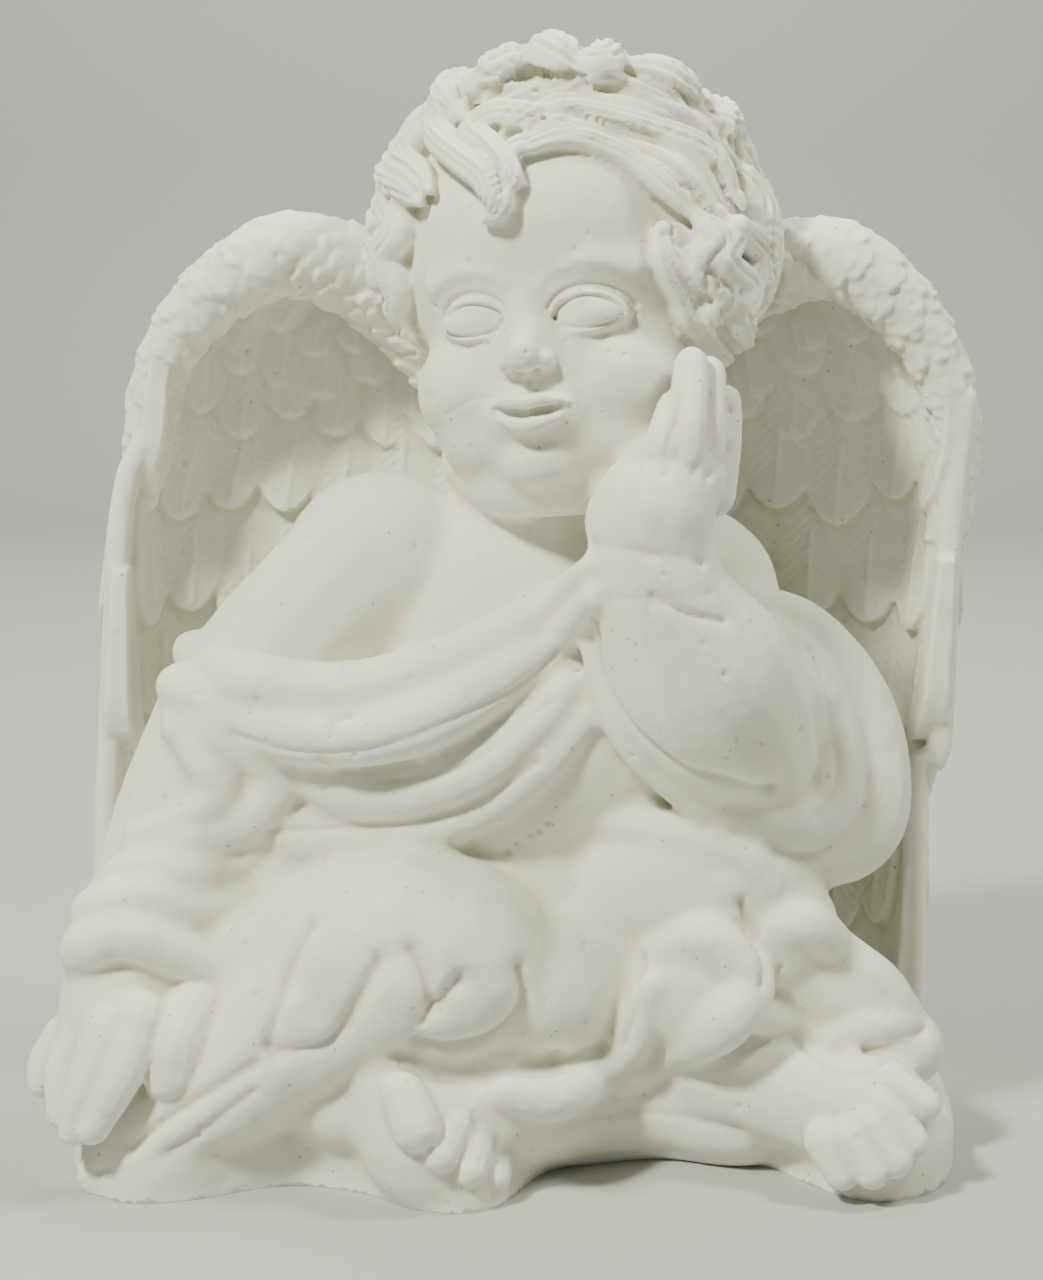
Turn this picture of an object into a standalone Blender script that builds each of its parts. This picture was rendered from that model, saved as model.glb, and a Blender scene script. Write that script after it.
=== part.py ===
"""A plaster angel figurine: a winged child sitting on its plinth, cast in one piece."""


import math
from bisect import bisect

import bmesh
import bpy
from mathutils import Euler, Matrix, Vector
from mathutils.bvhtree import BVHTree

# Driving sizes, in metres
FIGURE_HEIGHT = 0.250
PLINTH_RISE = 0.014
WING_WALL = 0.005

# The drawing: its units to the figure's height, and the plinth's rise as drawn
DRAWN_HEIGHT = 250
DRAWN_RISE = 14
UNIT = FIGURE_HEIGHT / DRAWN_HEIGHT
RAISE = PLINTH_RISE / UNIT - DRAWN_RISE


def in_metres(point):
    """A drawn point in metres, raised as the plinth is."""
    return (Vector(point) + Vector((0, 0, RAISE))) * UNIT


def in_units(point):
    """A point in metres as the drawing has it."""
    return Vector(point) / UNIT - Vector((0, 0, RAISE))


def smooth_path(rows, steps=5):
    """A smooth curve through rows of numbers, with steps points from each row to the next."""
    rows = [Vector(row) for row in rows]
    padded = [2 * rows[0] - rows[1], *rows, 2 * rows[-1] - rows[-2]]
    path = []
    for a, b, c, d in zip(padded, padded[1:], padded[2:], padded[3:]):
        for number in range(steps):
            t = number / steps
            path.append(0.5 * (2 * b + (c - a) * t + (2 * a - 5 * b + 4 * c - d) * t**2
                               + (3 * b - a - 3 * c + d) * t**3))
    return [*path, rows[-1]]


class Pile:
    """Balls, tapering tubes and feathers that overlap, to be fused into one skin."""

    def __init__(self, name):
        self.name = name
        self.form = bmesh.new()
        self.tubes = bpy.data.curves.new(name, "CURVE")
        self.tubes.dimensions = "3D"
        self.tubes.bevel_depth = UNIT
        self.tubes.bevel_resolution = 4
        self.tubes.use_fill_caps = True

    def ball(self, centre, radii, axes=None):
        """An ellipsoid, turned by a rotation matrix."""
        turn = axes.to_4x4() if axes else Matrix()
        stretch = Matrix.Diagonal((*(Vector(radii) * UNIT), 1))
        bmesh.ops.create_icosphere(self.form, subdivisions=3, radius=1,
                                   matrix=Matrix.Translation(in_metres(centre)) @ turn @ stretch)

    def rope(self, rows):
        """A round-ended tube along a smooth curve through (point, radius) rows."""
        path = smooth_path([(*point, radius) for point, radius in rows])
        path = [*round_end(path[0], path[1])[::-1], *path, *round_end(path[-1], path[-2])]
        spline = self.tubes.splines.new("POLY")
        spline.points.add(len(path) - 1)
        for point, row in zip(spline.points, path):
            point.co = (*in_metres(row.xyz), 1)
            point.radius = row.w

    def sheet(self, fronts, backs):
        """A closed plate between two grids of drawn points."""
        grids = [[[self.form.verts.new(in_metres(point)) for point in row] for row in grid]
                 for grid in (fronts, backs)]
        front, back = grids
        rows, columns = len(front) - 1, len(front[0]) - 1
        for i in range(rows):
            for j in range(columns):
                self.form.faces.new((front[i][j], front[i][j + 1], front[i + 1][j + 1],
                                     front[i + 1][j]))
                self.form.faces.new((back[i][j], back[i + 1][j], back[i + 1][j + 1], back[i][j + 1]))
        for i in range(rows):
            for j in (0, columns):
                self.form.faces.new((front[i][j], front[i + 1][j], back[i + 1][j], back[i][j]))
        for j in range(columns):
            for i in (0, rows):
                self.form.faces.new((front[i][j], back[i][j], back[i][j + 1], front[i][j + 1]))

    def shells(self):
        """Everything in the pile, as one mesh of overlapping closed shells."""
        holder = bpy.data.objects.new(self.name, self.tubes)
        bpy.context.scene.collection.objects.link(holder)
        mesh = as_shown(holder)
        self.form.from_mesh(mesh)
        bmesh.ops.recalc_face_normals(self.form, faces=self.form.faces)
        self.form.to_mesh(mesh)
        self.form.free()
        return mesh


def round_end(end, inner):
    """Points beyond a tube's end, in the shape of half a ball."""
    ahead = (end.xyz - inner.xyz).normalized()
    angles = [math.radians(angle) for angle in (30, 60, 85)]
    return [Vector((*(end.xyz + ahead * end.w * math.sin(a)), end.w * math.cos(a))) for a in angles]


def as_shown(holder):
    """An object's mesh with its modifiers, and the object removed."""
    mesh = bpy.data.meshes.new_from_object(holder.evaluated_get(bpy.context.evaluated_depsgraph_get()))
    bpy.data.objects.remove(holder)
    return mesh


def fuse(meshes, voxel, passes):
    """Joins overlapping shells into one skin, softened where they meet."""
    form = bmesh.new()
    for mesh in meshes:
        form.from_mesh(mesh)
    joined = bpy.data.meshes.new("joined")
    form.to_mesh(joined)
    form.free()
    holder = bpy.data.objects.new("joined", joined)
    bpy.context.scene.collection.objects.link(holder)
    remesh = holder.modifiers.new("Fuse", "REMESH")
    remesh.mode = "VOXEL"
    remesh.voxel_size = voxel
    soften = holder.modifiers.new("Soften", "SMOOTH")
    soften.factor = 0.5
    soften.iterations = passes
    return as_shown(holder)


class Skin:
    """A surface to lay folds and curls on: places are dropped on it from the front."""

    def __init__(self, mesh):
        form = bmesh.new()
        form.from_mesh(mesh)
        self.tree = BVHTree.FromBMesh(form)
        form.free()

    def hit(self, start, ahead):
        """Where a ray first meets the skin, and the skin's normal there, in the drawing's units."""
        point, normal, index, distance = self.tree.ray_cast(in_metres(start), ahead)
        if point is None:
            point, normal, index, distance = self.tree.find_nearest(in_metres(Vector(start) + ahead * 150))
        return in_units(point), normal

    def drop(self, x, z, lift=0.0):
        """The skin's point behind (x, z), raised off it by lift."""
        spot, normal = self.hit((x, -150, z), Vector((0, 1, 0)))
        return spot + (normal + Vector((0, -0.5, 0))).normalized() * lift

    def near(self, spot):
        """The skin's point nearest to a drawn point, and the skin's normal there."""
        point, normal, index, distance = self.tree.find_nearest(in_metres(spot))
        return in_units(point), normal

    def lay(self, pile, rows):
        """A roll of clay laid along ((x, z), lift, radius) rows."""
        pile.rope([(self.drop(*spot, lift), radius) for spot, lift, radius in rows])


class Pose:
    """A form's own frame: where it is, and its turn about x, y and z in degrees."""

    def __init__(self, origin, turn):
        self.origin = Vector(origin)
        self.axes = Euler([math.radians(angle) for angle in turn]).to_matrix()

    def at(self, x, y, z):
        return self.origin + self.axes @ Vector((x, y, z))

    def ball(self, pile, centre, radii):
        pile.ball(self.at(*centre), radii, self.axes)

    def rope(self, pile, rows):
        pile.rope([(self.at(*point), radius) for point, radius in rows])


def torso(flesh):
    """The trunk, its shoulders, and the cloth that fills the space beside it."""
    for centre, radii in (
        ((0, 2, 112), (38, 28, 38)),
        ((2, -7, 90), (44, 30, 34)),
        ((2, 4, 50), (64, 38, 44)),
        ((-32, 2, 130), (23, 22, 22)),
        ((38, 4, 122), (22, 20, 22)),
        ((-33, -12, 80), (30, 20, 18)),
    ):
        flesh.ball(centre, radii)
    flesh.rope([((2, 2, 130), 21), ((7, 3, 158), 20)])
    flesh.rope([((0, 22, 10), 22), ((0, 20, 80), 22), ((4, 20, 150), 18)])
    flesh.rope([((-46, 6, 112), 20), ((-59, -2, 69), 22), ((-66, -8, 51), 22)])
    # Cloth behind the resting arm, and between its cuffs and the knee
    flesh.rope([((-72, 10, 6), 24), ((-72, 10, 46), 20), ((-66, 10, 80), 16)])
    flesh.rope([((-48, -14, 82), 15), ((-58, -20, 56), 15)])
    # The bed of the cowl between the arm and the chest
    flesh.rope([((-58, -16, 100), 13), ((-38, -22, 96), 13), ((-14, -24, 98), 13)])


def propping_arm(flesh):
    """The arm whose hand holds the cheek: its elbow hangs low, in a wide sleeve."""
    flesh.rope([((42, 2, 120), 17), ((56, -14, 100), 18)])
    flesh.rope([((27, -44, 137), 13.5), ((30, -42, 126), 16), ((37, -37, 112), 21),
                ((44, -30, 99), 21), ((48, -26, 92), 18)])
    flesh.rope([((27, -44, 139), 13), ((28, -43, 146), 14), ((33, -40, 153), 11)])
    flesh.ball((23, -42, 144), (10, 9, 10))
    flesh.ball((65, -4, 88), (14, 14, 26))


def propping_hand(carving):
    """Four fingers against the cheek."""
    for finger in (
        [((28, -46, 152), 4.5), ((30, -46, 161), 4.3), ((32, -42, 168), 3.6)],
        [((34, -46, 152), 4.8), ((35, -45, 165), 4.4), ((36, -38, 177), 3.8)],
        [((38, -42, 151), 4.8), ((39, -40, 164), 4.4), ((40, -33, 175), 3.8)],
        [((41, -37, 149), 4.8), ((43, -34, 160), 4.3), ((44, -29, 169), 3.6)],
    ):
        carving.rope(finger)


def hanging_sleeve(carving):
    """The sleeve round the low elbow: an outer roll and an inner one."""
    carving.rope([((51, -14, 122), 6), ((64, -8, 115), 8), ((75, -8, 101), 9), ((79, -10, 85), 10),
                  ((77, -14, 72), 10), ((67, -20, 67), 8), ((54, -26, 71), 7)])
    carving.rope([((54, -18, 116), 6), ((64, -16, 107), 7), ((69, -18, 91), 8), ((67, -22, 78), 8),
                  ((57, -29, 76), 7.5), ((45, -34, 81), 7), ((33, -37, 89), 6), ((24, -38, 98), 5.5),
                  ((19, -36, 110), 5), ((16, -34, 124), 5)])


def resting_arm(flesh):
    """The sleeved arm that reaches down to the plinth's corner."""
    flesh.rope([((-34, 0, 130), 20), ((-60, -8, 103), 19), ((-72, -14, 81), 18),
                ((-78, -20, 66), 17), ((-82, -28, 54), 16), ((-85, -34, 46), 15)])
    flesh.rope([((-86, -34, 43), 15), ((-88, -43, 33), 14), ((-91, -48, 26), 10)])


def resting_hand(carving):
    """Four fingers pointing down, and a thumb on the cloth."""
    for finger in (
        [((-82, -52, 38), 6.5), ((-85, -58, 28), 5), ((-91, -60, 17), 4)],
        [((-88, -52, 36), 6.5), ((-92, -57, 25), 4.8), ((-95, -58, 16), 3.8)],
        [((-94, -47, 34), 6), ((-98, -51, 26), 4.6), ((-98, -54, 18), 3.8)],
        [((-99, -42, 32), 5), ((-103, -43, 26), 4.6), ((-104, -44, 22), 4)],
        [((-70, -44, 40), 6), ((-74, -52, 34), 6.5), ((-75, -54, 26), 6)],
    ):
        carving.rope(finger)


def legs(flesh):
    """Both legs under the cloth, the near knee a dome, and the rock between the feet."""
    flesh.rope([((-8, 4, 46), 30), ((-24, -30, 44), 26), ((-26, -40, 50), 23)])
    flesh.ball((-26, -38, 46), (36, 27, 26))
    flesh.ball((-2, -32, 40), (26, 22, 20))
    flesh.ball((14, -16, 42), (30, 26, 24))
    flesh.rope([((14, 4, 48), 30), ((40, -18, 46), 24), ((54, -25, 49), 18)])
    flesh.ball((38, -20, 61), (30, 24, 20))
    flesh.rope([((56, -26, 43), 14), ((74, -26, 34), 12), ((86, -30, 25), 9)])
    flesh.ball((38, -38, 41), (15, 13, 15))
    # Cloth running down to the left corner
    flesh.rope([((-44, -44, 38), 20), ((-60, -46, 24), 15), ((-77, -50, 13), 10), ((-91, -50, 3), 6)])
    flesh.rope([((-63, -30, 48), 14), ((-68, -38, 34), 12), ((-73, -44, 22), 9)])
    # Rock between the feet
    flesh.rope([((-5, -46, 18), 14), ((13, -28, 12), 15), ((32, -24, 12), 15), ((49, -32, 11), 13)])
    flesh.ball((-36, -44, 18), (16, 14, 12))
    # Shin and foot at the right
    flesh.rope([((44, -34, 21), 12), ((62, -42, 17), 12), ((72, -46, 14), 12)])
    flesh.ball((76, -46, 16), (14, 12, 12))
    # The middle foot
    flesh.rope([((-26, -50, 24), 13), ((-21, -54, 12), 14), ((-17, -54, 3), 12)])


def toes(carving):
    """Five toes of the right foot, and four of the middle one."""
    for toe in (
        [((79, -50, 23), 5), ((86, -54, 20), 4)],
        [((77, -54, 19), 5), ((83, -58, 13), 4)],
        [((74, -57, 16), 5), ((79, -61, 10), 4)],
        [((70, -58, 14), 5), ((74, -62, 8), 4)],
        [((65, -56, 13), 5), ((68, -60, 7), 4)],
        [((-25, -62, 26), 5), ((-22, -66, 19), 5.5)],
        [((-15, -60, 17), 5), ((-17, -66, 13), 4)],
        [((-9, -56, 15), 5), ((-11, -64, 9), 4)],
        [((-5, -52, 11), 4.5), ((-6, -60, 6), 3.8)],
    ):
        carving.rope(toe)


# The plinth's outline, seen from above, with a hollow between the feet
PLINTH_OUTLINE = [(-93, -52), (-84, -60), (-70, -58), (-50, -49), (-30, -56), (-16, -66), (-5, -62),
                  (6, -38), (27, -15), (48, -26), (62, -48), (74, -59), (88, -54), (96, -36),
                  (99, -5), (97, 28), (84, 42), (42, 47), (0, 48), (-42, 47), (-84, 42), (-99, 28),
                  (-102, -5), (-100, -35)]
SUNK = 8


def plinth(flesh):
    """The slab under the figure, drawn past its underside, where it is cut off."""
    levels = ((-RAISE - SUNK, 1.0), (DRAWN_RISE - 4, 1.0), (DRAWN_RISE, 0.96))
    rings = []
    for level, share in levels:
        outline = smooth_path([*PLINTH_OUTLINE, PLINTH_OUTLINE[0]], 3)[:-1]
        rings.append([flesh.form.verts.new(in_metres((x * share, y * share, level))) for x, y in outline])
    flesh.form.faces.new(rings[0][::-1])
    flesh.form.faces.new(rings[-1])
    for low, high in zip(rings, rings[1:]):
        for a in range(len(low)):
            b = (a + 1) % len(low)
            flesh.form.faces.new((low[a], low[b], high[b], high[a]))


# The cowl's two wide rolls, and the two slack ones under it
COLLAR = (
    [((-77, 111), 0, 5.5), ((-63, 108), 0, 7), ((-49, 105), 1, 7.5), ((-36, 105), 1, 7.5),
     ((-20, 109), 1, 7),
     ((-5, 116), 1, 6), ((8, 125), 1, 4.5), ((15, 135), 0, 3)],
    [((-75, 105), 1, 6), ((-60, 99), 1, 7), ((-47, 97), 2, 7), ((-33, 97), 2, 7), ((-18, 101), 2, 7),
     ((-4, 108), 2, 6), ((9, 117), 1, 5), ((16, 129), 0, 3.5)],
    [((-52, 90), -1, 5), ((-40, 84), -1, 6.5), ((-27, 83), 0, 6.5), ((-10, 89), 0, 6), ((2, 98), 0, 5),
     ((10, 107), 0, 4)],
    [((-61, 81), -1, 5), ((-47, 73), -2, 6.5), ((-29, 73), -2, 6.5), ((-11, 79), -2, 6), ((4, 90), -1, 5),
     ((15, 102), -1, 4)],
)
# The resting arm's sleeve, from the shoulder down to the cuff
SLEEVE = (
    [((-75, 97), 0, 5), ((-66, 96), 1, 5.5), ((-58, 93), 2, 6), ((-54, 86), 2, 6), ((-57, 79), 2, 6),
     ((-65, 75), 1, 5.5), ((-74, 73), 0, 5), ((-82, 70), -1, 4)],
    [((-77, 101), 0, 4), ((-70, 91), 1, 5), ((-66, 84), 1, 5), ((-73, 78), 0, 4.5), ((-84, 74), -1, 4)],
    [((-91, 63), -3, 6), ((-84, 67), -1, 6), ((-74, 67), 0, 6), ((-64, 67), -1, 5), ((-57, 73), -2, 4)],
    [((-106, 40), -6, 6), ((-94, 57), -2, 6.5), ((-82, 62), 0, 6.5), ((-71, 59), -1, 6),
     ((-63, 61), -2, 4)],
    [((-109, 31), -6, 5), ((-96, 50), -2, 6), ((-86, 55), 1, 6), ((-77, 52), 0, 6), ((-69, 47), -3, 5)],
)
# The cloth over the far knee, and the hem above the feet
LAP = (
    [((28, 44), -1, 4), ((26, 33), 1, 5), ((18, 22), 2, 5), ((6, 21), 2, 5), ((-4, 24), 1, 4)],
    [((29, 51), -3, 5), ((39, 54), -1, 6), ((47, 49), -1, 6), ((49, 43), 0, 6), ((42, 36), 1, 6),
     ((33, 25), 1, 5), ((22, 20), 1, 4)],
    [((54, 55), -3, 5), ((63, 55), -2, 6), ((71, 48), -3, 6), ((80, 41), -3, 6), ((86, 35), -4, 5)],
    [((48, 38), 0, 4), ((58, 33), 0, 4.5), ((66, 29), 0, 4.5), ((77, 32), -1, 4), ((85, 32), -3, 4)],
    [((20, 76), -3, 5), ((35, 75), -3, 6), ((47, 72), -3, 6), ((55, 64), -4, 5)],
)


HEAD = Pose((11, -1, 189), (-4, -4.5, -17))


def head(flesh):
    """The skull, the full cheeks and the small double chin."""
    for centre, radii in (
        ((0, 3, 9), (37, 39, 37)),
        ((0, -7, 15), (31.5, 30.5, 26)),
        ((0, -8, -14), (31, 27, 29)),
        ((0, -25, -25), (14, 13, 9)),
        ((0, -24.5, -35), (10.5, 11.5, 7.5)),
    ):
        HEAD.ball(flesh, centre, radii)
    for side in (-1, 1):
        HEAD.ball(flesh, (side * 16, -14, -18.5), (15.5, 20, 14.5))
        HEAD.ball(flesh, (side * 12.5, -13.5, -28), (15, 18, 12.5))
        HEAD.rope(flesh, [((side * 5, -31.5, 4), 3), ((side * 13, -31.5, 7), 3.2),
                  ((side * 23, -26, 5), 3)])
    HEAD.rope(flesh, [((-25, -2, -33), 7.5), ((-13, -17, -39), 7.5), ((0, -21, -40), 7.5),
                      ((13, -17, -39), 7.5), ((25, -2, -33), 7.5)])
    HEAD.rope(flesh, [((0, -30.5, 3), 4.8), ((0, -32.5, -5), 4.2), ((0, -35.8, -11.5), 4.6)])


def face(carving):
    """Blank eyes between two lids, a small nose and parted lips."""
    for side in (-1, 1):
        HEAD.ball(carving, (side * 13.4, -28.4, -4.6), (8, 5.6, 4.9))
        for rise, radius in ((4, 1.2), (-3.4, 0.9)):
            HEAD.rope(carving, [((side * 5.4, -30.4, -5), 0.8),
                      ((side * 9.2, -32.6, -4.6 + rise * 0.8), radius),
                                ((side * 13.6, -33, -4.6 + rise), radius),
                                ((side * 17.8, -30.8, -4.6 + rise * 0.7), radius),
                                ((side * 21, -27, -5), 0.8)])
        HEAD.ball(carving, (side * 3.9, -36.6, -14.2), (2.9, 3.4, 2.4))
    HEAD.ball(carving, (0, -38.4, -12.8), (4, 4.6, 3.8))
    HEAD.rope(carving, [((-8, -35.6, -23.6), 0.8), ((-2.8, -38.8, -22.6), 1.5), ((0, -39, -23.2), 1.3),
                        ((2.8, -38.8, -22.6), 1.5), ((8, -35.6, -23.6), 0.8)])
    HEAD.rope(carving, [((-6.4, -36.4, -25.8), 0.9), ((0, -38.6, -27), 1.8), ((6.4, -36.4, -25.8), 0.9)])


def scalp(azimuth, height, lift):
    """A point over the skull: azimuth from the face towards the viewer's right, height above the ears."""
    a, h = math.radians(azimuth), math.radians(height)
    return HEAD.at(math.sin(a) * math.cos(h) * (39 + lift), 6 - math.cos(a) * math.cos(h) * (41 + lift),
                   13 + math.sin(h) * (40 + lift))


def hair_cap(flesh):
    """The mass of hair over the skull and down both temples."""
    HEAD.ball(flesh, (-1, 9, 14), (41, 39, 40))
    flesh.rope([(scalp(56, 24, -3), 8), (scalp(62, 2, -3), 9), (scalp(66, -20, -4), 8)])
    flesh.rope([(scalp(-64, 28, -5), 7.5), (scalp(-68, 4, -5), 7.5), (scalp(-70, -22, -5), 7)])


# The crown's first and last lock, swept from the parting over to the right temple
CROWN_BACK = [((-13, 244), 5), ((5, 248), 6), ((27, 244), 6), ((44, 233), 6), ((54, 219), 5)]
CROWN_FRONT = [((0, 220), 3), ((10, 223), 3.6), ((22, 220), 4), ((32, 214), 4), ((39, 206), 3)]


def crown(skin):
    """Locks from the back of the crown to the hairline, every other one standing higher."""
    count = 8
    for number in range(count):
        share = number / (count - 1)
        rows = []
        for (back, wide), (front, narrow) in zip(CROWN_BACK, CROWN_FRONT):
            spot = skin.drop(*back).lerp(skin.drop(*front), share)
            spot, normal = skin.near(spot)
            lift = 1 + 1.5 * (number % 2) + math.sin(2.1 * len(rows) + number)
            rows.append((spot + normal * lift, (wide + (narrow - wide) * share) * 0.8))
        yield rows


def locks(skin):
    """Every lock of the front and the temples, as rows of (point, radius)."""
    yield from crown(skin)
    for rows in (
        # The forelock and the curl inside it.
        [((8, 233), 2, 4), ((-4, 235), 3, 4.5), ((-13, 232), 4, 4.5), ((-16, 225), 4, 4),
         ((-11, 219), 4, 4),
         ((-6, 215), 4, 4), ((-4, 210), 3, 3.6), ((-7, 207), 2, 2.6)],
        [((15, 224), 2, 3), ((5, 227), 3, 4), ((-4, 228), 4, 4), ((-9, 225), 4, 3.4), ((-5, 220), 4, 3.4),
         ((-2, 215), 3, 3.2), ((-5, 212), 3, 2.6)],
        # Curls at the left temple.
        [((-16, 235), 3, 4), ((-23, 234), 4, 5), ((-29, 230), 3, 5), ((-31, 222), 3, 5),
         ((-27, 217), 4, 4.6),
         ((-22, 214), 4, 4), ((-20, 211), 3, 3)],
        [((-19, 230), 3, 3.5), ((-24, 227), 4, 4), ((-25, 221), 4, 4), ((-20, 217), 4, 3.4),
         ((-18, 213), 3, 2.6)],
        [((-29, 217), 3, 4.5), ((-32, 210), 3, 4.5), ((-35, 204), 3, 4.5), ((-34, 198), 4, 4.5),
         ((-30, 194), 3, 4),
         ((-30, 189), 2, 3)],
        [((-27, 213), 3, 4), ((-25, 206), 3, 4.2), ((-28, 201), 4, 4.2), ((-26, 194), 3, 4),
         ((-27, 188), 3, 3.4),
         ((-24, 183), 2, 2.6)],
        # Curls round the right temple and ear.
        [((29, 205), 3, 3), ((30, 199), 3, 3.6), ((34, 192), 3, 4), ((37, 186), 3, 4), ((43, 180), 3, 3.6),
         ((45, 176), 2, 2.8)],
        [((44, 206), 4, 4), ((50, 202), 4, 4.4), ((48, 196), 4, 4.4), ((45, 191), 4, 4.2),
         ((49, 185), 3, 4),
         ((46, 180), 2, 3.4)],
        [((51, 212), 3, 4), ((55, 206), 3, 4.5), ((54, 198), 3, 4.5), ((50, 193), 3, 4), ((52, 186), 2, 4),
         ((50, 181), 1, 3.4)],
    ):
        yield [(skin.drop(*spot, lift), radius) for spot, lift, radius in rows]


# Short tufts over the top of the head: azimuth, height and size of each
TUFTS = [(-52, 52, 6), (-24, 62, 5.6), (8, 66, 6.4), (36, 58, 5.8), (64, 48, 6), (88, 36, 5.6),
         (-80, 40, 5.6)]


def tufts():
    """Short locks that stand up out of the crown's outline."""
    for azimuth, height, size in TUFTS:
        bend = 9 if size > 5.9 else -9
        yield [(scalp(azimuth - 12, height + 14, 1), size * 0.8),
               (scalp(azimuth - 3, height + bend / 3, 4), size),
               (scalp(azimuth + 8, height - bend / 2, 4), size * 0.9),
               (scalp(azimuth + 20, height - bend, 1), size * 0.5)]


def back_locks():
    """The locks behind the ears and down the back of the head."""
    for rows in (
        [(82, 26, 1, 5), (92, 10, 3, 5.5), (88, -4, 3, 5.5), (94, -16, 2, 5), (88, -30, 1, 4)],
        [(96, 36, 1, 5), (106, 18, 2, 6), (102, 0, 3, 6), (108, -16, 2, 5.5), (102, -32, 1, 4)],
        [(-76, 30, 1, 5), (-86, 14, 2, 5.5), (-82, 0, 2, 5), (-90, -14, 2, 5), (-84, -28, 1, 4)],
        [(-92, 46, 1, 5), (-102, 28, 2, 6), (-98, 10, 3, 6), (-104, -6, 2, 5), (-100, -24, 1, 4)],
        [(40, 76, 0, 5), (85, 60, 1, 6), (102, 44, 2, 6), (104, 26, 2, 6), (112, 8, 2, 5)],
    ):
        yield [(scalp(*row[:3]), row[3]) for row in rows]
    for lane in range(9):
        rows = []
        for step in range(7):
            wave = 4 * (-1) ** step
            place = scalp(122 + lane * 14.5 + wave, 70 - 17 * step, 2 + lane % 2)
            rows.append((place, 6.5 if step < 6 else 4))
        yield rows


def tapered(rows):
    """A lock that starts and ends thinner than it is drawn."""
    (start, first), *middle, (end, last) = rows
    return [(start, first * 0.7), *middle, (end, last * 0.45)]


def hair(carving, skin):
    for rows in (*locks(skin), *tufts(), *back_locks()):
        carving.rope(tapered(rows))


# Half-widths of each wing by level, from the middle of the figure
WING_WIDTH = {
    -1: [(-6, 100), (30, 101), (60, 101), (110, 98), (145, 95), (158, 90), (182, 86), (196, 74),
         (205, 60)],
    1: [(-6, 95), (30, 96), (80, 96), (86, 101), (131, 102), (168, 105), (187, 98), (203, 80)],
}
WING_FRONT, WING_BACK, WING_ROOT = 8, 40, 12
WING_DIP = 36
WALL = WING_WALL / UNIT
# Each row of feathers: level of its tips, length, how many round the wall, thickness
FEATHER_ROWS = [(-8, 62, 6.4, 4.6), (36, 62, 6.4, 4.6), (84, 44, 6.2, 4.6), (112, 42, 6.2, 4.6),
                (139, 40, 6.4, 4.4), (160, 30, 7, 3.8), (170, 26, 7.5, 3.4), (180, 18, 8, 3.2)]


def width_at(side, level):
    rows = WING_WIDTH[side]
    for (low, a), (high, b) in zip(rows, rows[1:]):
        if level <= high:
            return a + (b - a) * max(level - low, 0) / (high - low)
    return rows[-1][1]


def cup_shares():
    """A square-shouldered quarter oval from the middle of the back to the front rim, by its length."""
    squareness = 2.8
    angles = [number / 60 * math.pi / 2 for number in range(61)]
    power = 2 / squareness
    points = [Vector((math.sin(angle) ** power, math.cos(angle) ** power)) for angle in angles]
    lengths = [0.0]
    for a, b in zip(points, points[1:]):
        lengths.append(lengths[-1] + math.hypot((b.x - a.x) * 86, (b.y - a.y) * (WING_BACK - WING_FRONT)))
    return [length / lengths[-1] for length in lengths], points


CUP_REACH, CUP_POINTS = cup_shares()


def wall_point(side, turn, level, inward=0.0):
    """A point of a wing's wall: turn runs from the back, 0, round to the front rim, 1."""
    number = min(bisect(CUP_REACH, max(turn, 0)), len(CUP_REACH) - 1)
    low, high = CUP_REACH[number - 1], CUP_REACH[number]
    share = CUP_POINTS[number - 1].lerp(CUP_POINTS[number], (min(max(turn, 0), 1) - low) / (high - low))
    across = (width_at(side, level) - WING_ROOT - inward) * share.x
    back = (WING_BACK - WING_FRONT - inward) * share.y - 100 * max(turn - 1, 0)
    dip = WING_DIP * (level / DRAWN_HEIGHT) ** 3 * (1 - min(max(turn, 0) / 0.35, 1)) ** 2
    return Vector((side * (WING_ROOT + across + 60 * min(turn, 0)), WING_FRONT + back, level - dip))


def wall(pile, side):
    """A plain cupped wall."""
    turns = [-0.25 + 1.25 * number / 20 for number in range(21)]
    levels = [level for level, width in WING_WIDTH[side]]
    outer, inner = [[[wall_point(side, turn, level, inward) for turn in turns] for level in levels]
                    for inward in (0, WALL)]
    pile.sheet(outer, inner)


def feather(pile, wall_at, width, length, thick):
    """A feather on the wall, round at its low tip, where it is thickest, and crowned across."""
    tops, bottoms = [], []
    round_share = width * 0.75 / length
    for share in (0, 0.02, 0.06, 0.12, 0.2, 0.3, 0.5, 0.75, 1):
        reach = math.sqrt(max(1 - max(1 - share / round_share, 0) ** 2, 0.004))
        top, bottom = [], []
        for lane in (-1, -0.93, -0.6, -0.2, 0, 0.2, 0.6, 0.93, 1):
            spot, out = wall_at(lane * reach * width / 2, share * length)
            top.append(spot + out * thick * (1 - 0.85 * share) * (1 - 0.35 * (lane * reach) ** 2))
            bottom.append(spot - out * 0.7 * WALL)
        tops.append(top)
        bottoms.append(bottom)
    pile.sheet(tops, bottoms)


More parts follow.
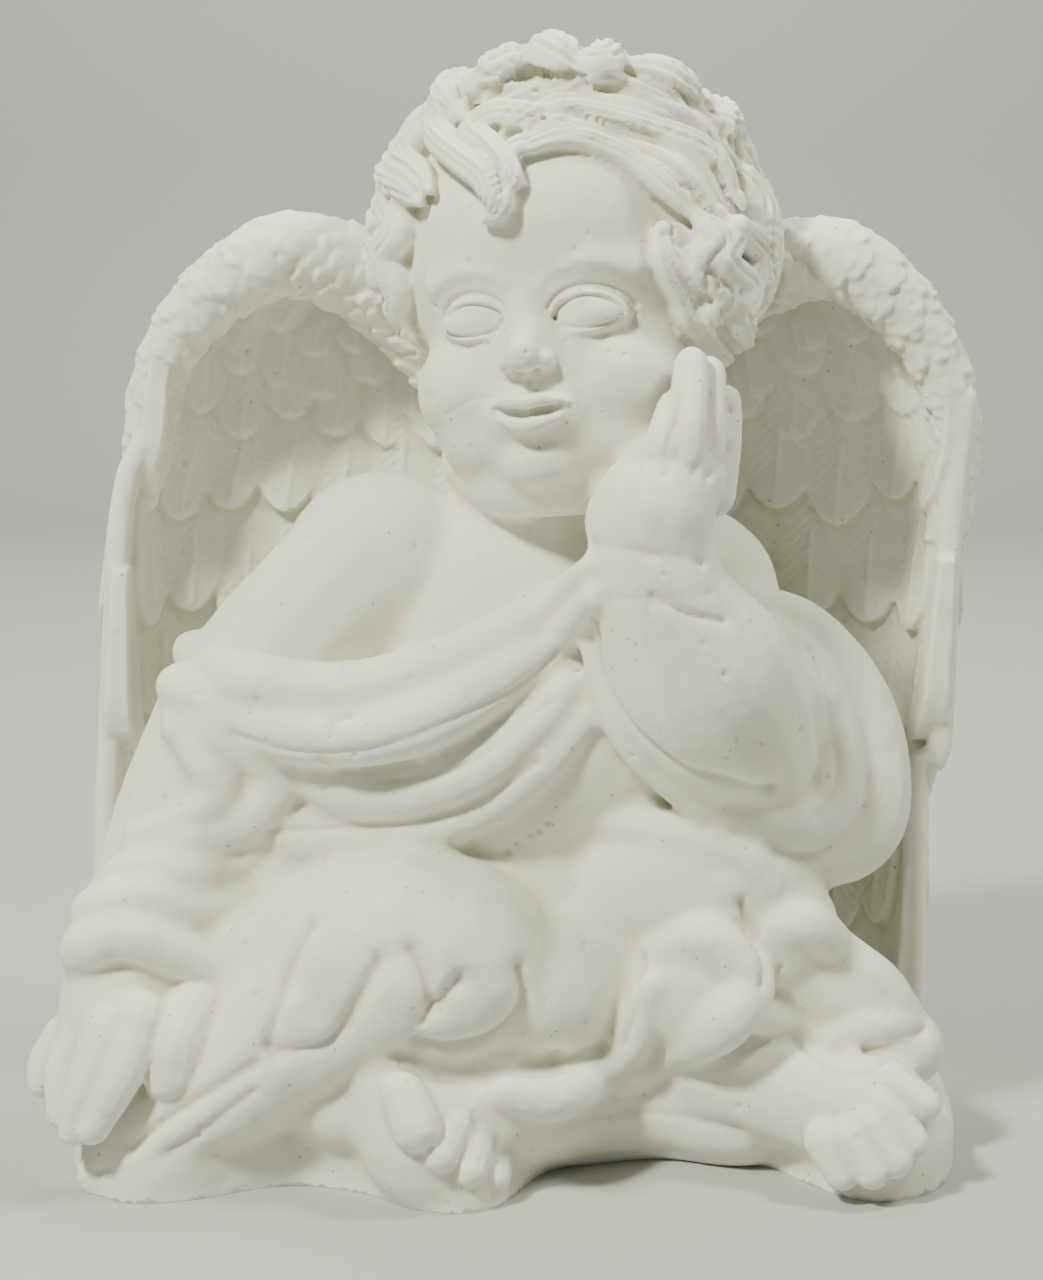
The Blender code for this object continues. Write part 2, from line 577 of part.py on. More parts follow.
def feathers(carving, side):
    """Overlapping feathers on both faces of the wall, each tip standing over the row below."""
    for number, (tip, length, count, thick) in enumerate(FEATHER_ROWS):
        for column in range(int(count) + 1):
            turn = 0.04 + (column + 0.5 * (number % 2)) / count * 0.96
            if turn > 1:
                continue
            level = tip + 3 * math.sin(column * 2.4 + number * 1.7 + side) + 8 * (turn - 0.5)
            girth = width_at(side, level) - WING_ROOT + WING_BACK - WING_FRONT - 12
            width = girth / count * 1.1

            def inner_face(aside, rise, inward=WALL, facing=1):
                here = turn + aside * facing * side / girth
                spot = wall_point(side, here, level + rise, inward)
                ahead = wall_point(side, here + 0.01, level + rise, inward)
                behind = wall_point(side, here - 0.01, level + rise, inward)
                return spot, (ahead - behind).cross(Vector((0, 0, 1))).normalized() * side * facing

            def outer_face(aside, rise):
                return inner_face(aside, rise, 0, -1)

            feather(carving, inner_face, width, length, thick)
            if turn < 0.93:
                feather(carving, outer_face, width, length, thick * 0.8)


# The thick leading edge of each wing
RIDGES = {
    -1: [((-12, 28, 172), 10), ((-34, 20, 194), 10), ((-52, 14, 201), 9.2), ((-64, 10, 197), 8),
         ((-75, 10, 188), 6.8), ((-83, 12, 176), 5.6), ((-87, 14, 162), 5), ((-89, 14, 145), 4)],
    1: [((32, 30, 172), 10), ((52, 22, 195), 10), ((72, 14, 200), 8.6), ((85, 12, 192), 7.6),
        ((94, 12, 181), 6.4), ((100, 12, 167), 5.4), ((101, 12, 150), 4.6), ((99, 12, 131), 4)],
}


def rim(carving, side):
    """The wall's thick front edge."""
    levels = [level for level, width in WING_WIDTH[side] if level < 180]
    carving.rope([(wall_point(side, 1, level, WALL / 2), 3) for level in levels])


def wings(carving):
    for side, rows in RIDGES.items():
        wall(carving, side)
        rim(carving, side)
        feathers(carving, side)
        carving.rope(rows)


# The figure's skin: voxels for the soft forms and for the carving, and the faces kept
FLESH_VOXEL = 0.0018
CARVING_VOXEL = 0.0014
TRIANGLES = 9900
PLASTER = (0.80, 0.79, 0.74, 1)


def angel():
    """The whole figure as one skin, reaching below its underside."""
    flesh, cloth, carving = Pile("flesh"), Pile("cloth"), Pile("carving")
    for form in (torso, legs, plinth, resting_arm, head, hair_cap, propping_arm):
        form(flesh)
    body = fuse([flesh.shells()], FLESH_VOXEL, 5)
    skin = Skin(body)
    hanging_sleeve(cloth)
    for rolls in (COLLAR, SLEEVE, LAP):
        for rows in rolls:
            skin.lay(cloth, rows)
    dressed = fuse([body, cloth.shells()], FLESH_VOXEL, 2)
    for form in (wings, face, propping_hand, resting_hand, toes):
        form(carving)
    hair(carving, skin)
    return fuse([dressed, carving.shells()], CARVING_VOXEL, 1)


def thinned(mesh, triangles):
    """The mesh with fewer faces, the flat stretches thinned first."""
    holder = bpy.data.objects.new("thinned", mesh)
    bpy.context.scene.collection.objects.link(holder)
    fewer = holder.modifiers.new("Thin", "DECIMATE")
    fewer.ratio = triangles / (2 * len(mesh.polygons))
    return as_shown(holder)


def largest_shell(form):
    """Keeps the largest of a form's separate shells."""
    left = set(form.verts)
    largest = set()
    while left:
        edge = [left.pop()]
        shell = set(edge)
        while edge:
            near = {link.other_vert(vert) for vert in edge for link in vert.link_edges} & left
            left -= near
            shell |= near
            edge = list(near)
        if len(shell) > len(largest):
            largest = shell
    bmesh.ops.delete(form, geom=[vert for vert in form.verts if vert not in largest], context="VERTS")


def cut_underside(mesh):
    """Cuts the figure off flat at the ground and closes it."""
    form = bmesh.new()
    form.from_mesh(mesh)
    largest_shell(form)
    everything = [*form.verts, *form.edges, *form.faces]
    bmesh.ops.bisect_plane(form, geom=everything, dist=1e-6, plane_co=(0, 0, 0), plane_no=(0, 0, -1),
                           clear_outer=True)
    rim = [edge for edge in form.edges if edge.is_boundary]
    bmesh.ops.holes_fill(form, edges=rim)
    for vert in {vert for edge in rim for vert in edge.verts}:
        vert.co.z = 0
    bmesh.ops.triangulate(form, faces=form.faces)
    bmesh.ops.recalc_face_normals(form, faces=form.faces)
    form.to_mesh(mesh)
    form.free()


def main():
    for thing in list(bpy.data.objects):
        bpy.data.objects.remove(thing)
    mesh = thinned(angel(), TRIANGLES)
    cut_underside(mesh)
    mesh.name = "angel_figurine"
    mesh.shade_smooth()
    plaster = bpy.data.materials.new("plaster")
    plaster.use_nodes = True
    surface = plaster.node_tree.nodes["Principled BSDF"]
    surface.inputs["Base Color"].default_value = PLASTER
    surface.inputs["Roughness"].default_value = 0.85
    surface.inputs["Metallic"].default_value = 0
    mesh.materials.append(plaster)
    figurine = bpy.data.objects.new("angel_figurine", mesh)
    bpy.context.scene.collection.objects.link(figurine)


main()
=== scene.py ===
"""The looks of the plaster angel: its fine carving, the plaster, the floor, the light and the camera."""
import math
import random
from bisect import bisect

import bmesh
import bpy
import numpy as np
from mathutils import Euler, Matrix, Vector, noise
from mathutils.bvhtree import BVHTree
from mathutils.kdtree import KDTree


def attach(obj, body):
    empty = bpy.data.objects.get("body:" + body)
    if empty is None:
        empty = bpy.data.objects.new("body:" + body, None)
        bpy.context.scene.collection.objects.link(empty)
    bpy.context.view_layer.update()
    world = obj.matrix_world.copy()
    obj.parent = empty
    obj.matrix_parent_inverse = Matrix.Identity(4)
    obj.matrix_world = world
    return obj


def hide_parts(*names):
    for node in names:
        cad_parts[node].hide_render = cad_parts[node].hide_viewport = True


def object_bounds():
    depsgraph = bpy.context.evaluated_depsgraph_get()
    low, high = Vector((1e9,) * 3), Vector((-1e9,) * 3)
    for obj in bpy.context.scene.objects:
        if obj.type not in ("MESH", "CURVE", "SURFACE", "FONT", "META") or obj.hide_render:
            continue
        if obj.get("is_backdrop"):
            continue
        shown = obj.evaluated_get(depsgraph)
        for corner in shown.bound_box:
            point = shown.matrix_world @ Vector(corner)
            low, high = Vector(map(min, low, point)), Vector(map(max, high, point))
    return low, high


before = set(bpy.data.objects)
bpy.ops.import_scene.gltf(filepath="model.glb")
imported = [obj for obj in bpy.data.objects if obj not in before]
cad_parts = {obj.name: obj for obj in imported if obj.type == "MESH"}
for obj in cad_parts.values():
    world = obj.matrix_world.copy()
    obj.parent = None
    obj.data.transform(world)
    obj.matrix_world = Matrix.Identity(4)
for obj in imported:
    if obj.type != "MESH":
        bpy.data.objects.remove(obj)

SOLID = "angel_figurine"
CAD_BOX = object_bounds()

# The drawing: the top of its hair and its plinth's rise, in its own units
DRAWN_TOP = 247.9
DRAWN_HEIGHT = 250
DRAWN_RISE = 14
UNIT = CAD_BOX[1].z / DRAWN_TOP


def in_metres(point):
    """A drawn point in metres."""
    return Vector(point) * UNIT


def in_units(point):
    """A point in metres as the drawing has it."""
    return Vector(point) / UNIT


def smooth_path(rows, steps=5):
    """A smooth curve through rows of numbers, with steps points from each row to the next."""
    rows = [Vector(row) for row in rows]
    padded = [2 * rows[0] - rows[1], *rows, 2 * rows[-1] - rows[-2]]
    path = []
    for a, b, c, d in zip(padded, padded[1:], padded[2:], padded[3:]):
        for number in range(steps):
            t = number / steps
            path.append(0.5 * (2 * b + (c - a) * t + (2 * a - 5 * b + 4 * c - d) * t**2
                               + (3 * b - a - 3 * c + d) * t**3))
    return [*path, rows[-1]]


def placed(name, data):
    """A new object in the scene."""
    holder = bpy.data.objects.new(name, data)
    bpy.context.scene.collection.objects.link(holder)
    return holder


class Pile:
    """Balls, tapering tubes and feathers that overlap, to be fused into one skin."""

    def __init__(self, name):
        self.name = name
        self.form = bmesh.new()
        self.tubes = bpy.data.curves.new(name, "CURVE")
        self.tubes.dimensions = "3D"
        self.tubes.bevel_depth = UNIT
        self.tubes.bevel_resolution = 4
        self.tubes.use_fill_caps = True

    def ball(self, centre, radii, axes=None):
        """An ellipsoid, turned by a rotation matrix."""
        turn = axes.to_4x4() if axes else Matrix()
        stretch = Matrix.Diagonal((*(Vector(radii) * UNIT), 1))
        bmesh.ops.create_icosphere(self.form, subdivisions=3, radius=1,
                                   matrix=Matrix.Translation(in_metres(centre)) @ turn @ stretch)

    def rope(self, rows):
        """A round-ended tube along a smooth curve through (point, radius) rows."""
        path = smooth_path([(*point, radius) for point, radius in rows])
        path = [*round_end(path[0], path[1])[::-1], *path, *round_end(path[-1], path[-2])]
        spline = self.tubes.splines.new("POLY")
        spline.points.add(len(path) - 1)
        for point, row in zip(spline.points, path):
            point.co = (*in_metres(row.xyz), 1)
            point.radius = row.w

    def sheet(self, fronts, backs):
        """A closed plate between two grids of drawn points."""
        grids = [[[self.form.verts.new(in_metres(point)) for point in row] for row in grid]
                 for grid in (fronts, backs)]
        front, back = grids
        rows, columns = len(front) - 1, len(front[0]) - 1
        for i in range(rows):
            for j in range(columns):
                self.form.faces.new((front[i][j], front[i][j + 1], front[i + 1][j + 1],
                                     front[i + 1][j]))
                self.form.faces.new((back[i][j], back[i + 1][j], back[i + 1][j + 1], back[i][j + 1]))
        for i in range(rows):
            for j in (0, columns):
                self.form.faces.new((front[i][j], front[i + 1][j], back[i + 1][j], back[i][j]))
        for j in range(columns):
            for i in (0, rows):
                self.form.faces.new((front[i][j], back[i][j], back[i][j + 1], front[i][j + 1]))

    def shells(self):
        """Everything in the pile, as one mesh of overlapping closed shells."""
        mesh = as_shown(placed(self.name, self.tubes))
        self.form.from_mesh(mesh)
        bmesh.ops.recalc_face_normals(self.form, faces=self.form.faces)
        self.form.to_mesh(mesh)
        self.form.free()
        return mesh


def round_end(end, inner):
    """Points beyond a tube's end, in the shape of half a ball."""
    ahead = (end.xyz - inner.xyz).normalized()
    angles = [math.radians(angle) for angle in (30, 60, 85)]
    return [Vector((*(end.xyz + ahead * end.w * math.sin(a)), end.w * math.cos(a))) for a in angles]


def as_shown(holder):
    """An object's mesh with its modifiers, and the object removed."""
    mesh = bpy.data.meshes.new_from_object(holder.evaluated_get(bpy.context.evaluated_depsgraph_get()))
    bpy.data.objects.remove(holder)
    return mesh


def fuse(meshes, voxel, passes):
    """Joins overlapping shells into one skin, softened where they meet."""
    form = bmesh.new()
    for mesh in meshes:
        form.from_mesh(mesh)
    joined = bpy.data.meshes.new("joined")
    form.to_mesh(joined)
    form.free()
    holder = placed("joined", joined)
    remesh = holder.modifiers.new("Fuse", "REMESH")
    remesh.mode = "VOXEL"
    remesh.voxel_size = voxel
    soften = holder.modifiers.new("Soften", "SMOOTH")
    soften.factor = 0.5
    soften.iterations = passes
    return as_shown(holder)


class Skin:
    """A surface to lay folds and curls on: places are dropped on it from the front."""

    def __init__(self, mesh):
        form = bmesh.new()
        form.from_mesh(mesh)
        self.tree = BVHTree.FromBMesh(form)
        form.free()

    def hit(self, start, ahead):
        """Where a ray first meets the skin, and the skin's normal there, in the drawing's units."""
        point, normal, index, distance = self.tree.ray_cast(in_metres(start), ahead)
        if point is None:
            point, normal, index, distance = self.tree.find_nearest(in_metres(Vector(start) + ahead * 150))
        return in_units(point), normal

    def drop(self, x, z, lift=0.0):
        """The skin's point behind (x, z), raised off it by lift."""
        spot, normal = self.hit((x, -150, z), Vector((0, 1, 0)))
        return spot + (normal + Vector((0, -0.5, 0))).normalized() * lift

    def near(self, spot):
        """The skin's point nearest to a drawn point, and the skin's normal there."""
        point, normal, index, distance = self.tree.find_nearest(in_metres(spot))
        return in_units(point), normal

    def dropped(self, rows):
        """The (point, radius) rows of a roll that is drawn as ((x, z), lift, radius) rows."""
        return [(self.drop(*spot, lift), radius) for spot, lift, radius in rows]


class Pose:
    """A form's own frame: where it is, and its turn about x, y and z in degrees."""

    def __init__(self, origin, turn):
        self.origin = Vector(origin)
        self.axes = Euler([math.radians(angle) for angle in turn]).to_matrix()

    def at(self, x, y, z):
        """A point of the form, in the drawing's units."""
        return self.origin + self.axes @ Vector((x, y, z))

    def ball(self, pile, centre, radii):
        """A ball drawn in the form's frame."""
        pile.ball(self.at(*centre), radii, self.axes)

    def rope(self, pile, rows):
        """A tube drawn in the form's frame."""
        pile.rope([(self.at(*point), radius) for point, radius in rows])


# Below this height the relief dies out, so that the underside stays flat
CALM_RISE = 2


class Relief:
    """A fine mesh whose points are raised or pressed in along their normals."""

    def __init__(self, mesh):
        self.mesh = mesh
        self.skin = Skin(mesh)
        self.spots = KDTree(len(mesh.vertices))
        for vert in mesh.vertices:
            self.spots.insert(in_units(vert.co), vert.index)
        self.spots.balance()
        self.rises = [0.0] * len(mesh.vertices)

    def stroke(self, path, width, height):
        """Raises the surface along a path, or presses it in where height is negative."""
        reached = {}
        for a, b in zip(path, path[1:]):
            count = max(1, math.ceil((b - a).length / (width / 2)))
            for number in range(count):
                for spot, index, distance in self.spots.find_range(a.lerp(b, number / count), 2.2 * width):
                    if distance < reached.get(index, math.inf):
                        reached[index] = distance
        for index, distance in reached.items():
            self.rises[index] += height * math.exp(-((distance / width) ** 2))

    def pit(self, spot, width, depth):
        """A small hole left by a bubble."""
        for place, index, distance in self.spots.find_range(spot, 2.2 * width):
            self.rises[index] -= depth * math.exp(-((distance / width) ** 2))

    def settle(self):
        """Moves every point by what the strokes add up to, and by the casting's own unevenness."""
        normals = [vert.normal.copy() for vert in self.mesh.vertices]
        for vert, normal, rise in zip(self.mesh.vertices, normals, self.rises):
            spot = in_units(vert.co)
            rise += 0.14 * noise.noise(spot / 5) + 0.05 * noise.noise(spot / 1.6)
            vert.co += normal * rise * UNIT * min(max(spot.z, 0) / CALM_RISE, 1)
        self.mesh.update()


def torso(flesh):
    """The trunk, its shoulders, and the cloth that fills the space beside it."""
    for centre, radii in (
        ((0, 2, 112), (38, 28, 38)),
        ((2, -7, 90), (44, 30, 34)),
        ((2, 4, 50), (64, 38, 44)),
        ((-32, 2, 130), (23, 22, 22)),
        ((38, 4, 122), (22, 20, 22)),
        ((-33, -12, 80), (30, 20, 18)),
    ):
        flesh.ball(centre, radii)
    flesh.rope([((2, 2, 130), 21), ((7, 3, 158), 20)])
    flesh.rope([((0, 22, 10), 22), ((0, 20, 80), 22), ((4, 20, 150), 18)])
    flesh.rope([((-46, 6, 112), 20), ((-59, -2, 69), 22), ((-66, -8, 51), 22)])
    # Cloth behind the resting arm, and between its cuffs and the knee
    flesh.rope([((-72, 10, 6), 24), ((-72, 10, 46), 20), ((-66, 10, 80), 16)])
    flesh.rope([((-48, -14, 82), 15), ((-58, -20, 56), 15)])
    # The bed of the cowl between the arm and the chest
    flesh.rope([((-58, -16, 100), 13), ((-38, -22, 96), 13), ((-14, -24, 98), 13)])


def propping_arm(flesh):
    """The arm whose hand holds the cheek: its elbow hangs low, in a wide sleeve."""
    flesh.rope([((42, 2, 120), 17), ((56, -14, 100), 18)])
    flesh.rope([((27, -44, 137), 13.5), ((30, -42, 126), 16), ((37, -37, 112), 21),
                ((44, -30, 99), 21), ((48, -26, 92), 18)])
    flesh.rope([((27, -44, 139), 13), ((28, -43, 146), 14), ((33, -40, 153), 11)])
    flesh.ball((23, -42, 144), (10, 9, 10))
    flesh.ball((65, -4, 88), (14, 14, 26))


def propping_hand(carving):
    """Four fingers against the cheek."""
    for finger in (
        [((28, -46, 152), 4.5), ((30, -46, 161), 4.3), ((32, -42, 168), 3.6)],
        [((34, -46, 152), 4.8), ((35, -45, 165), 4.4), ((36, -38, 177), 3.8)],
        [((38, -42, 151), 4.8), ((39, -40, 164), 4.4), ((40, -33, 175), 3.8)],
        [((41, -37, 149), 4.8), ((43, -34, 160), 4.3), ((44, -29, 169), 3.6)],
    ):
        carving.rope(finger)


def hanging_sleeve(carving):
    """The sleeve round the low elbow: an outer roll and an inner one."""
    carving.rope([((51, -14, 122), 6), ((64, -8, 115), 8), ((75, -8, 101), 9), ((79, -10, 85), 10),
                  ((77, -14, 72), 10), ((67, -20, 67), 8), ((54, -26, 71), 7)])
    carving.rope([((54, -18, 116), 6), ((64, -16, 107), 7), ((69, -18, 91), 8), ((67, -22, 78), 8),
                  ((57, -29, 76), 7.5), ((45, -34, 81), 7), ((33, -37, 89), 6), ((24, -38, 98), 5.5),
                  ((19, -36, 110), 5), ((16, -34, 124), 5)])


def resting_arm(flesh):
    """The sleeved arm that reaches down to the plinth's corner."""
    flesh.rope([((-34, 0, 130), 20), ((-60, -8, 103), 19), ((-72, -14, 81), 18),
                ((-78, -20, 66), 17), ((-82, -28, 54), 16), ((-85, -34, 46), 15)])
    flesh.rope([((-86, -34, 43), 15), ((-88, -43, 33), 14), ((-91, -48, 26), 10)])


def resting_hand(carving):
    """Four fingers pointing down, and a thumb on the cloth."""
    for finger in (
        [((-82, -52, 38), 6.5), ((-85, -58, 28), 5), ((-91, -60, 17), 4)],
        [((-88, -52, 36), 6.5), ((-92, -57, 25), 4.8), ((-95, -58, 16), 3.8)],
        [((-94, -47, 34), 6), ((-98, -51, 26), 4.6), ((-98, -54, 18), 3.8)],
        [((-99, -42, 32), 5), ((-103, -43, 26), 4.6), ((-104, -44, 22), 4)],
        [((-70, -44, 40), 6), ((-74, -52, 34), 6.5), ((-75, -54, 26), 6)],
    ):
        carving.rope(finger)


def legs(flesh):
    """Both legs under the cloth, the near knee a dome, and the rock between the feet."""
    flesh.rope([((-8, 4, 46), 30), ((-24, -30, 44), 26), ((-26, -40, 50), 23)])
    flesh.ball((-26, -38, 46), (36, 27, 26))
    flesh.ball((-2, -32, 40), (26, 22, 20))
    flesh.ball((14, -16, 42), (30, 26, 24))
    flesh.rope([((14, 4, 48), 30), ((40, -18, 46), 24), ((54, -25, 49), 18)])
    flesh.ball((38, -20, 61), (30, 24, 20))
    flesh.rope([((56, -26, 43), 14), ((74, -26, 34), 12), ((86, -30, 25), 9)])
    flesh.ball((38, -38, 41), (15, 13, 15))
    # Cloth running down to the left corner
    flesh.rope([((-44, -44, 38), 20), ((-60, -46, 24), 15), ((-77, -50, 13), 10), ((-91, -50, 3), 6)])
    flesh.rope([((-63, -30, 48), 14), ((-68, -38, 34), 12), ((-73, -44, 22), 9)])
    # Rock between the feet
    flesh.rope([((-5, -46, 18), 14), ((13, -28, 12), 15), ((32, -24, 12), 15), ((49, -32, 11), 13)])
    flesh.ball((-36, -44, 18), (16, 14, 12))
    # Shin and foot at the right
    flesh.rope([((44, -34, 21), 12), ((62, -42, 17), 12), ((72, -46, 14), 12)])
    flesh.ball((76, -46, 16), (14, 12, 12))
    # The middle foot
    flesh.rope([((-26, -50, 24), 13), ((-21, -54, 12), 14), ((-17, -54, 3), 12)])


def toes(carving):
    """Five toes of the right foot, and four of the middle one."""
    for toe in (
        [((79, -50, 23), 5), ((86, -54, 20), 4)],
        [((77, -54, 19), 5), ((83, -58, 13), 4)],
        [((74, -57, 16), 5), ((79, -61, 10), 4)],
        [((70, -58, 14), 5), ((74, -62, 8), 4)],
        [((65, -56, 13), 5), ((68, -60, 7), 4)],
        [((-25, -62, 26), 5), ((-22, -66, 19), 5.5)],
        [((-15, -60, 17), 5), ((-17, -66, 13), 4)],
        [((-9, -56, 15), 5), ((-11, -64, 9), 4)],
        [((-5, -52, 11), 4.5), ((-6, -60, 6), 3.8)],
    ):
        carving.rope(toe)


# The plinth's outline from above, with a hollow between the feet, and its depth below the ground
PLINTH_OUTLINE = [(-93, -52), (-84, -60), (-70, -58), (-50, -49), (-30, -56), (-16, -66), (-5, -62),
                  (6, -38), (27, -15), (48, -26), (62, -48), (74, -59), (88, -54), (96, -36),
                  (99, -5), (97, 28), (84, 42), (42, 47), (0, 48), (-42, 47), (-84, 42), (-99, 28),
                  (-102, -5), (-100, -35)]
SUNK = 8


def plinth(flesh):
    """The slab under the figure, drawn past its underside, where it is cut off."""
    levels = ((-SUNK, 1.0), (DRAWN_RISE - 4, 1.0), (DRAWN_RISE, 0.96))
    rings = []
    for level, share in levels:
        outline = smooth_path([*PLINTH_OUTLINE, PLINTH_OUTLINE[0]], 3)[:-1]
        rings.append([flesh.form.verts.new(in_metres((x * share, y * share, level))) for x, y in outline])
    flesh.form.faces.new(rings[0][::-1])
    flesh.form.faces.new(rings[-1])
    for low, high in zip(rings, rings[1:]):
        for a in range(len(low)):
            b = (a + 1) % len(low)
            flesh.form.faces.new((low[a], low[b], high[b], high[a]))


# The cowl's two wide rolls, and the two slack ones under it
COLLAR = (
    [((-77, 111), 0, 5.5), ((-63, 108), 0, 7), ((-49, 105), 1, 7.5), ((-36, 105), 1, 7.5),
     ((-20, 109), 1, 7), ((-5, 116), 1, 6), ((8, 125), 1, 4.5), ((15, 135), 0, 3)],
    [((-75, 105), 1, 6), ((-60, 99), 1, 7), ((-47, 97), 2, 7), ((-33, 97), 2, 7), ((-18, 101), 2, 7),
     ((-4, 108), 2, 6), ((9, 117), 1, 5), ((16, 129), 0, 3.5)],
    [((-52, 90), -1, 5), ((-40, 84), -1, 6.5), ((-27, 83), 0, 6.5), ((-10, 89), 0, 6), ((2, 98), 0, 5),
     ((10, 107), 0, 4)],
    [((-61, 81), -1, 5), ((-47, 73), -2, 6.5), ((-29, 73), -2, 6.5), ((-11, 79), -2, 6), ((4, 90), -1, 5),
     ((15, 102), -1, 4)],
)
# The resting arm's sleeve, from the shoulder down to the cuff
SLEEVE = (
    [((-75, 97), 0, 5), ((-66, 96), 1, 5.5), ((-58, 93), 2, 6), ((-54, 86), 2, 6), ((-57, 79), 2, 6),
     ((-65, 75), 1, 5.5), ((-74, 73), 0, 5), ((-82, 70), -1, 4)],
    [((-77, 101), 0, 4), ((-70, 91), 1, 5), ((-66, 84), 1, 5), ((-73, 78), 0, 4.5), ((-84, 74), -1, 4)],
    [((-91, 63), -3, 6), ((-84, 67), -1, 6), ((-74, 67), 0, 6), ((-64, 67), -1, 5), ((-57, 73), -2, 4)],
    [((-106, 40), -6, 6), ((-94, 57), -2, 6.5), ((-82, 62), 0, 6.5), ((-71, 59), -1, 6),
     ((-63, 61), -2, 4)],
    [((-109, 31), -6, 5), ((-96, 50), -2, 6), ((-86, 55), 1, 6), ((-77, 52), 0, 6), ((-69, 47), -3, 5)],
)
# The cloth over the far knee, and the hem above the feet
LAP = (
    [((28, 44), -1, 4), ((26, 33), 1, 5), ((18, 22), 2, 5), ((6, 21), 2, 5), ((-4, 24), 1, 4)],
    [((29, 51), -3, 5), ((39, 54), -1, 6), ((47, 49), -1, 6), ((49, 43), 0, 6), ((42, 36), 1, 6),
     ((33, 25), 1, 5), ((22, 20), 1, 4)],
    [((54, 55), -3, 5), ((63, 55), -2, 6), ((71, 48), -3, 6), ((80, 41), -3, 6), ((86, 35), -4, 5)],
    [((48, 38), 0, 4), ((58, 33), 0, 4.5), ((66, 29), 0, 4.5), ((77, 32), -1, 4), ((85, 32), -3, 4)],
    [((20, 76), -3, 5), ((35, 75), -3, 6), ((47, 72), -3, 6), ((55, 64), -4, 5)],
)


HEAD = Pose((11, -1, 189), (-4, -4.5, -17))


def head(flesh):
    """The skull, the full cheeks and the small double chin."""
    for centre, radii in (
        ((0, 3, 9), (37, 39, 37)),
        ((0, -7, 15), (31.5, 30.5, 26)),
        ((0, -8, -14), (31, 27, 29)),
        ((0, -25, -25), (14, 13, 9)),
        ((0, -24.5, -35), (10.5, 11.5, 7.5)),
    ):
        HEAD.ball(flesh, centre, radii)
    for side in (-1, 1):
        HEAD.ball(flesh, (side * 16, -14, -18.5), (15.5, 20, 14.5))
        HEAD.ball(flesh, (side * 12.5, -13.5, -28), (15, 18, 12.5))
        HEAD.rope(flesh, [((side * 5, -31.5, 4), 3), ((side * 13, -31.5, 7), 3.2), ((side * 23, -26, 5), 3)])
    HEAD.rope(flesh, [((-25, -2, -33), 7.5), ((-13, -17, -39), 7.5), ((0, -21, -40), 7.5),
                      ((13, -17, -39), 7.5), ((25, -2, -33), 7.5)])
    HEAD.rope(flesh, [((0, -30.5, 3), 4.8), ((0, -32.5, -5), 4.2), ((0, -35.8, -11.5), 4.6)])


def face(carving):
    """Blank eyes between two lids, a small nose with its wings, and parted lips."""
    for side in (-1, 1):
        HEAD.ball(carving, (side * 13.4, -28.4, -4.6), (7.8, 5.9, 4.7))
        for rise, radius in ((4, 1.1), (-3.4, 0.8)):
            HEAD.rope(carving, [((side * 5.4, -30.4, -5), 0.8),
                                ((side * 9.2, -32.6, -4.6 + rise * 0.8), radius),
                                ((side * 13.6, -33, -4.6 + rise), radius),
                                ((side * 17.8, -30.8, -4.6 + rise * 0.7), radius),
                                ((side * 21, -27, -5), 0.8)])
        HEAD.ball(carving, (side * 3.9, -36, -14), (2.5, 3, 2.2))
    HEAD.rope(carving, [((0, -33, -4), 2.4), ((0, -36, -9), 2.8), ((0, -38.8, -12.8), 3.9)])
    HEAD.rope(carving, [((-8.6, -35, -23.2), 0.8), ((-2.8, -38.6, -22.4), 1.6), ((0, -38.8, -23), 1.4),
                        ((2.8, -38.6, -22.4), 1.6), ((8.6, -35, -23.2), 0.8)])
    HEAD.rope(carving, [((-6.8, -36, -26), 0.9), ((0, -38.2, -27.6), 2), ((6.8, -36, -26), 0.9)])


def scalp(azimuth, height, lift):
    """A point over the skull: azimuth from the face towards the viewer's right, height above the ears."""
    a, h = math.radians(azimuth), math.radians(height)
    return HEAD.at(math.sin(a) * math.cos(h) * (39 + lift), 6 - math.cos(a) * math.cos(h) * (41 + lift),
                   13 + math.sin(h) * (40 + lift))


def hair_cap(flesh):
    """The mass of hair over the skull and down both temples."""
    HEAD.ball(flesh, (-1, 9, 14), (41, 39, 40))
    flesh.rope([(scalp(56, 24, -3), 8), (scalp(62, 2, -3), 9), (scalp(66, -20, -4), 8)])
    flesh.rope([(scalp(-64, 28, -5), 7.5), (scalp(-68, 4, -5), 7.5), (scalp(-70, -22, -5), 7)])


# The crown's first and last lock, swept from the parting over to the right temple
CROWN_BACK = [((-13, 244), 5), ((5, 248), 6), ((27, 244), 6), ((44, 233), 6), ((54, 219), 5)]
CROWN_FRONT = [((0, 220), 3), ((10, 223), 3.6), ((22, 220), 4), ((32, 214), 4), ((39, 206), 3)]


def crown(skin):
    """Locks from the back of the crown to the hairline, every other one standing higher."""
    count = 8
    for number in range(count):
        share = number / (count - 1)
        rows = []
        for (back, wide), (front, narrow) in zip(CROWN_BACK, CROWN_FRONT):
            spot = skin.drop(*back).lerp(skin.drop(*front), share)
            spot, normal = skin.near(spot)
            lift = 1 + 1.5 * (number % 2) + math.sin(2.1 * len(rows) + number)
            rows.append((spot + normal * lift, (wide + (narrow - wide) * share) * 0.8))
        yield rows


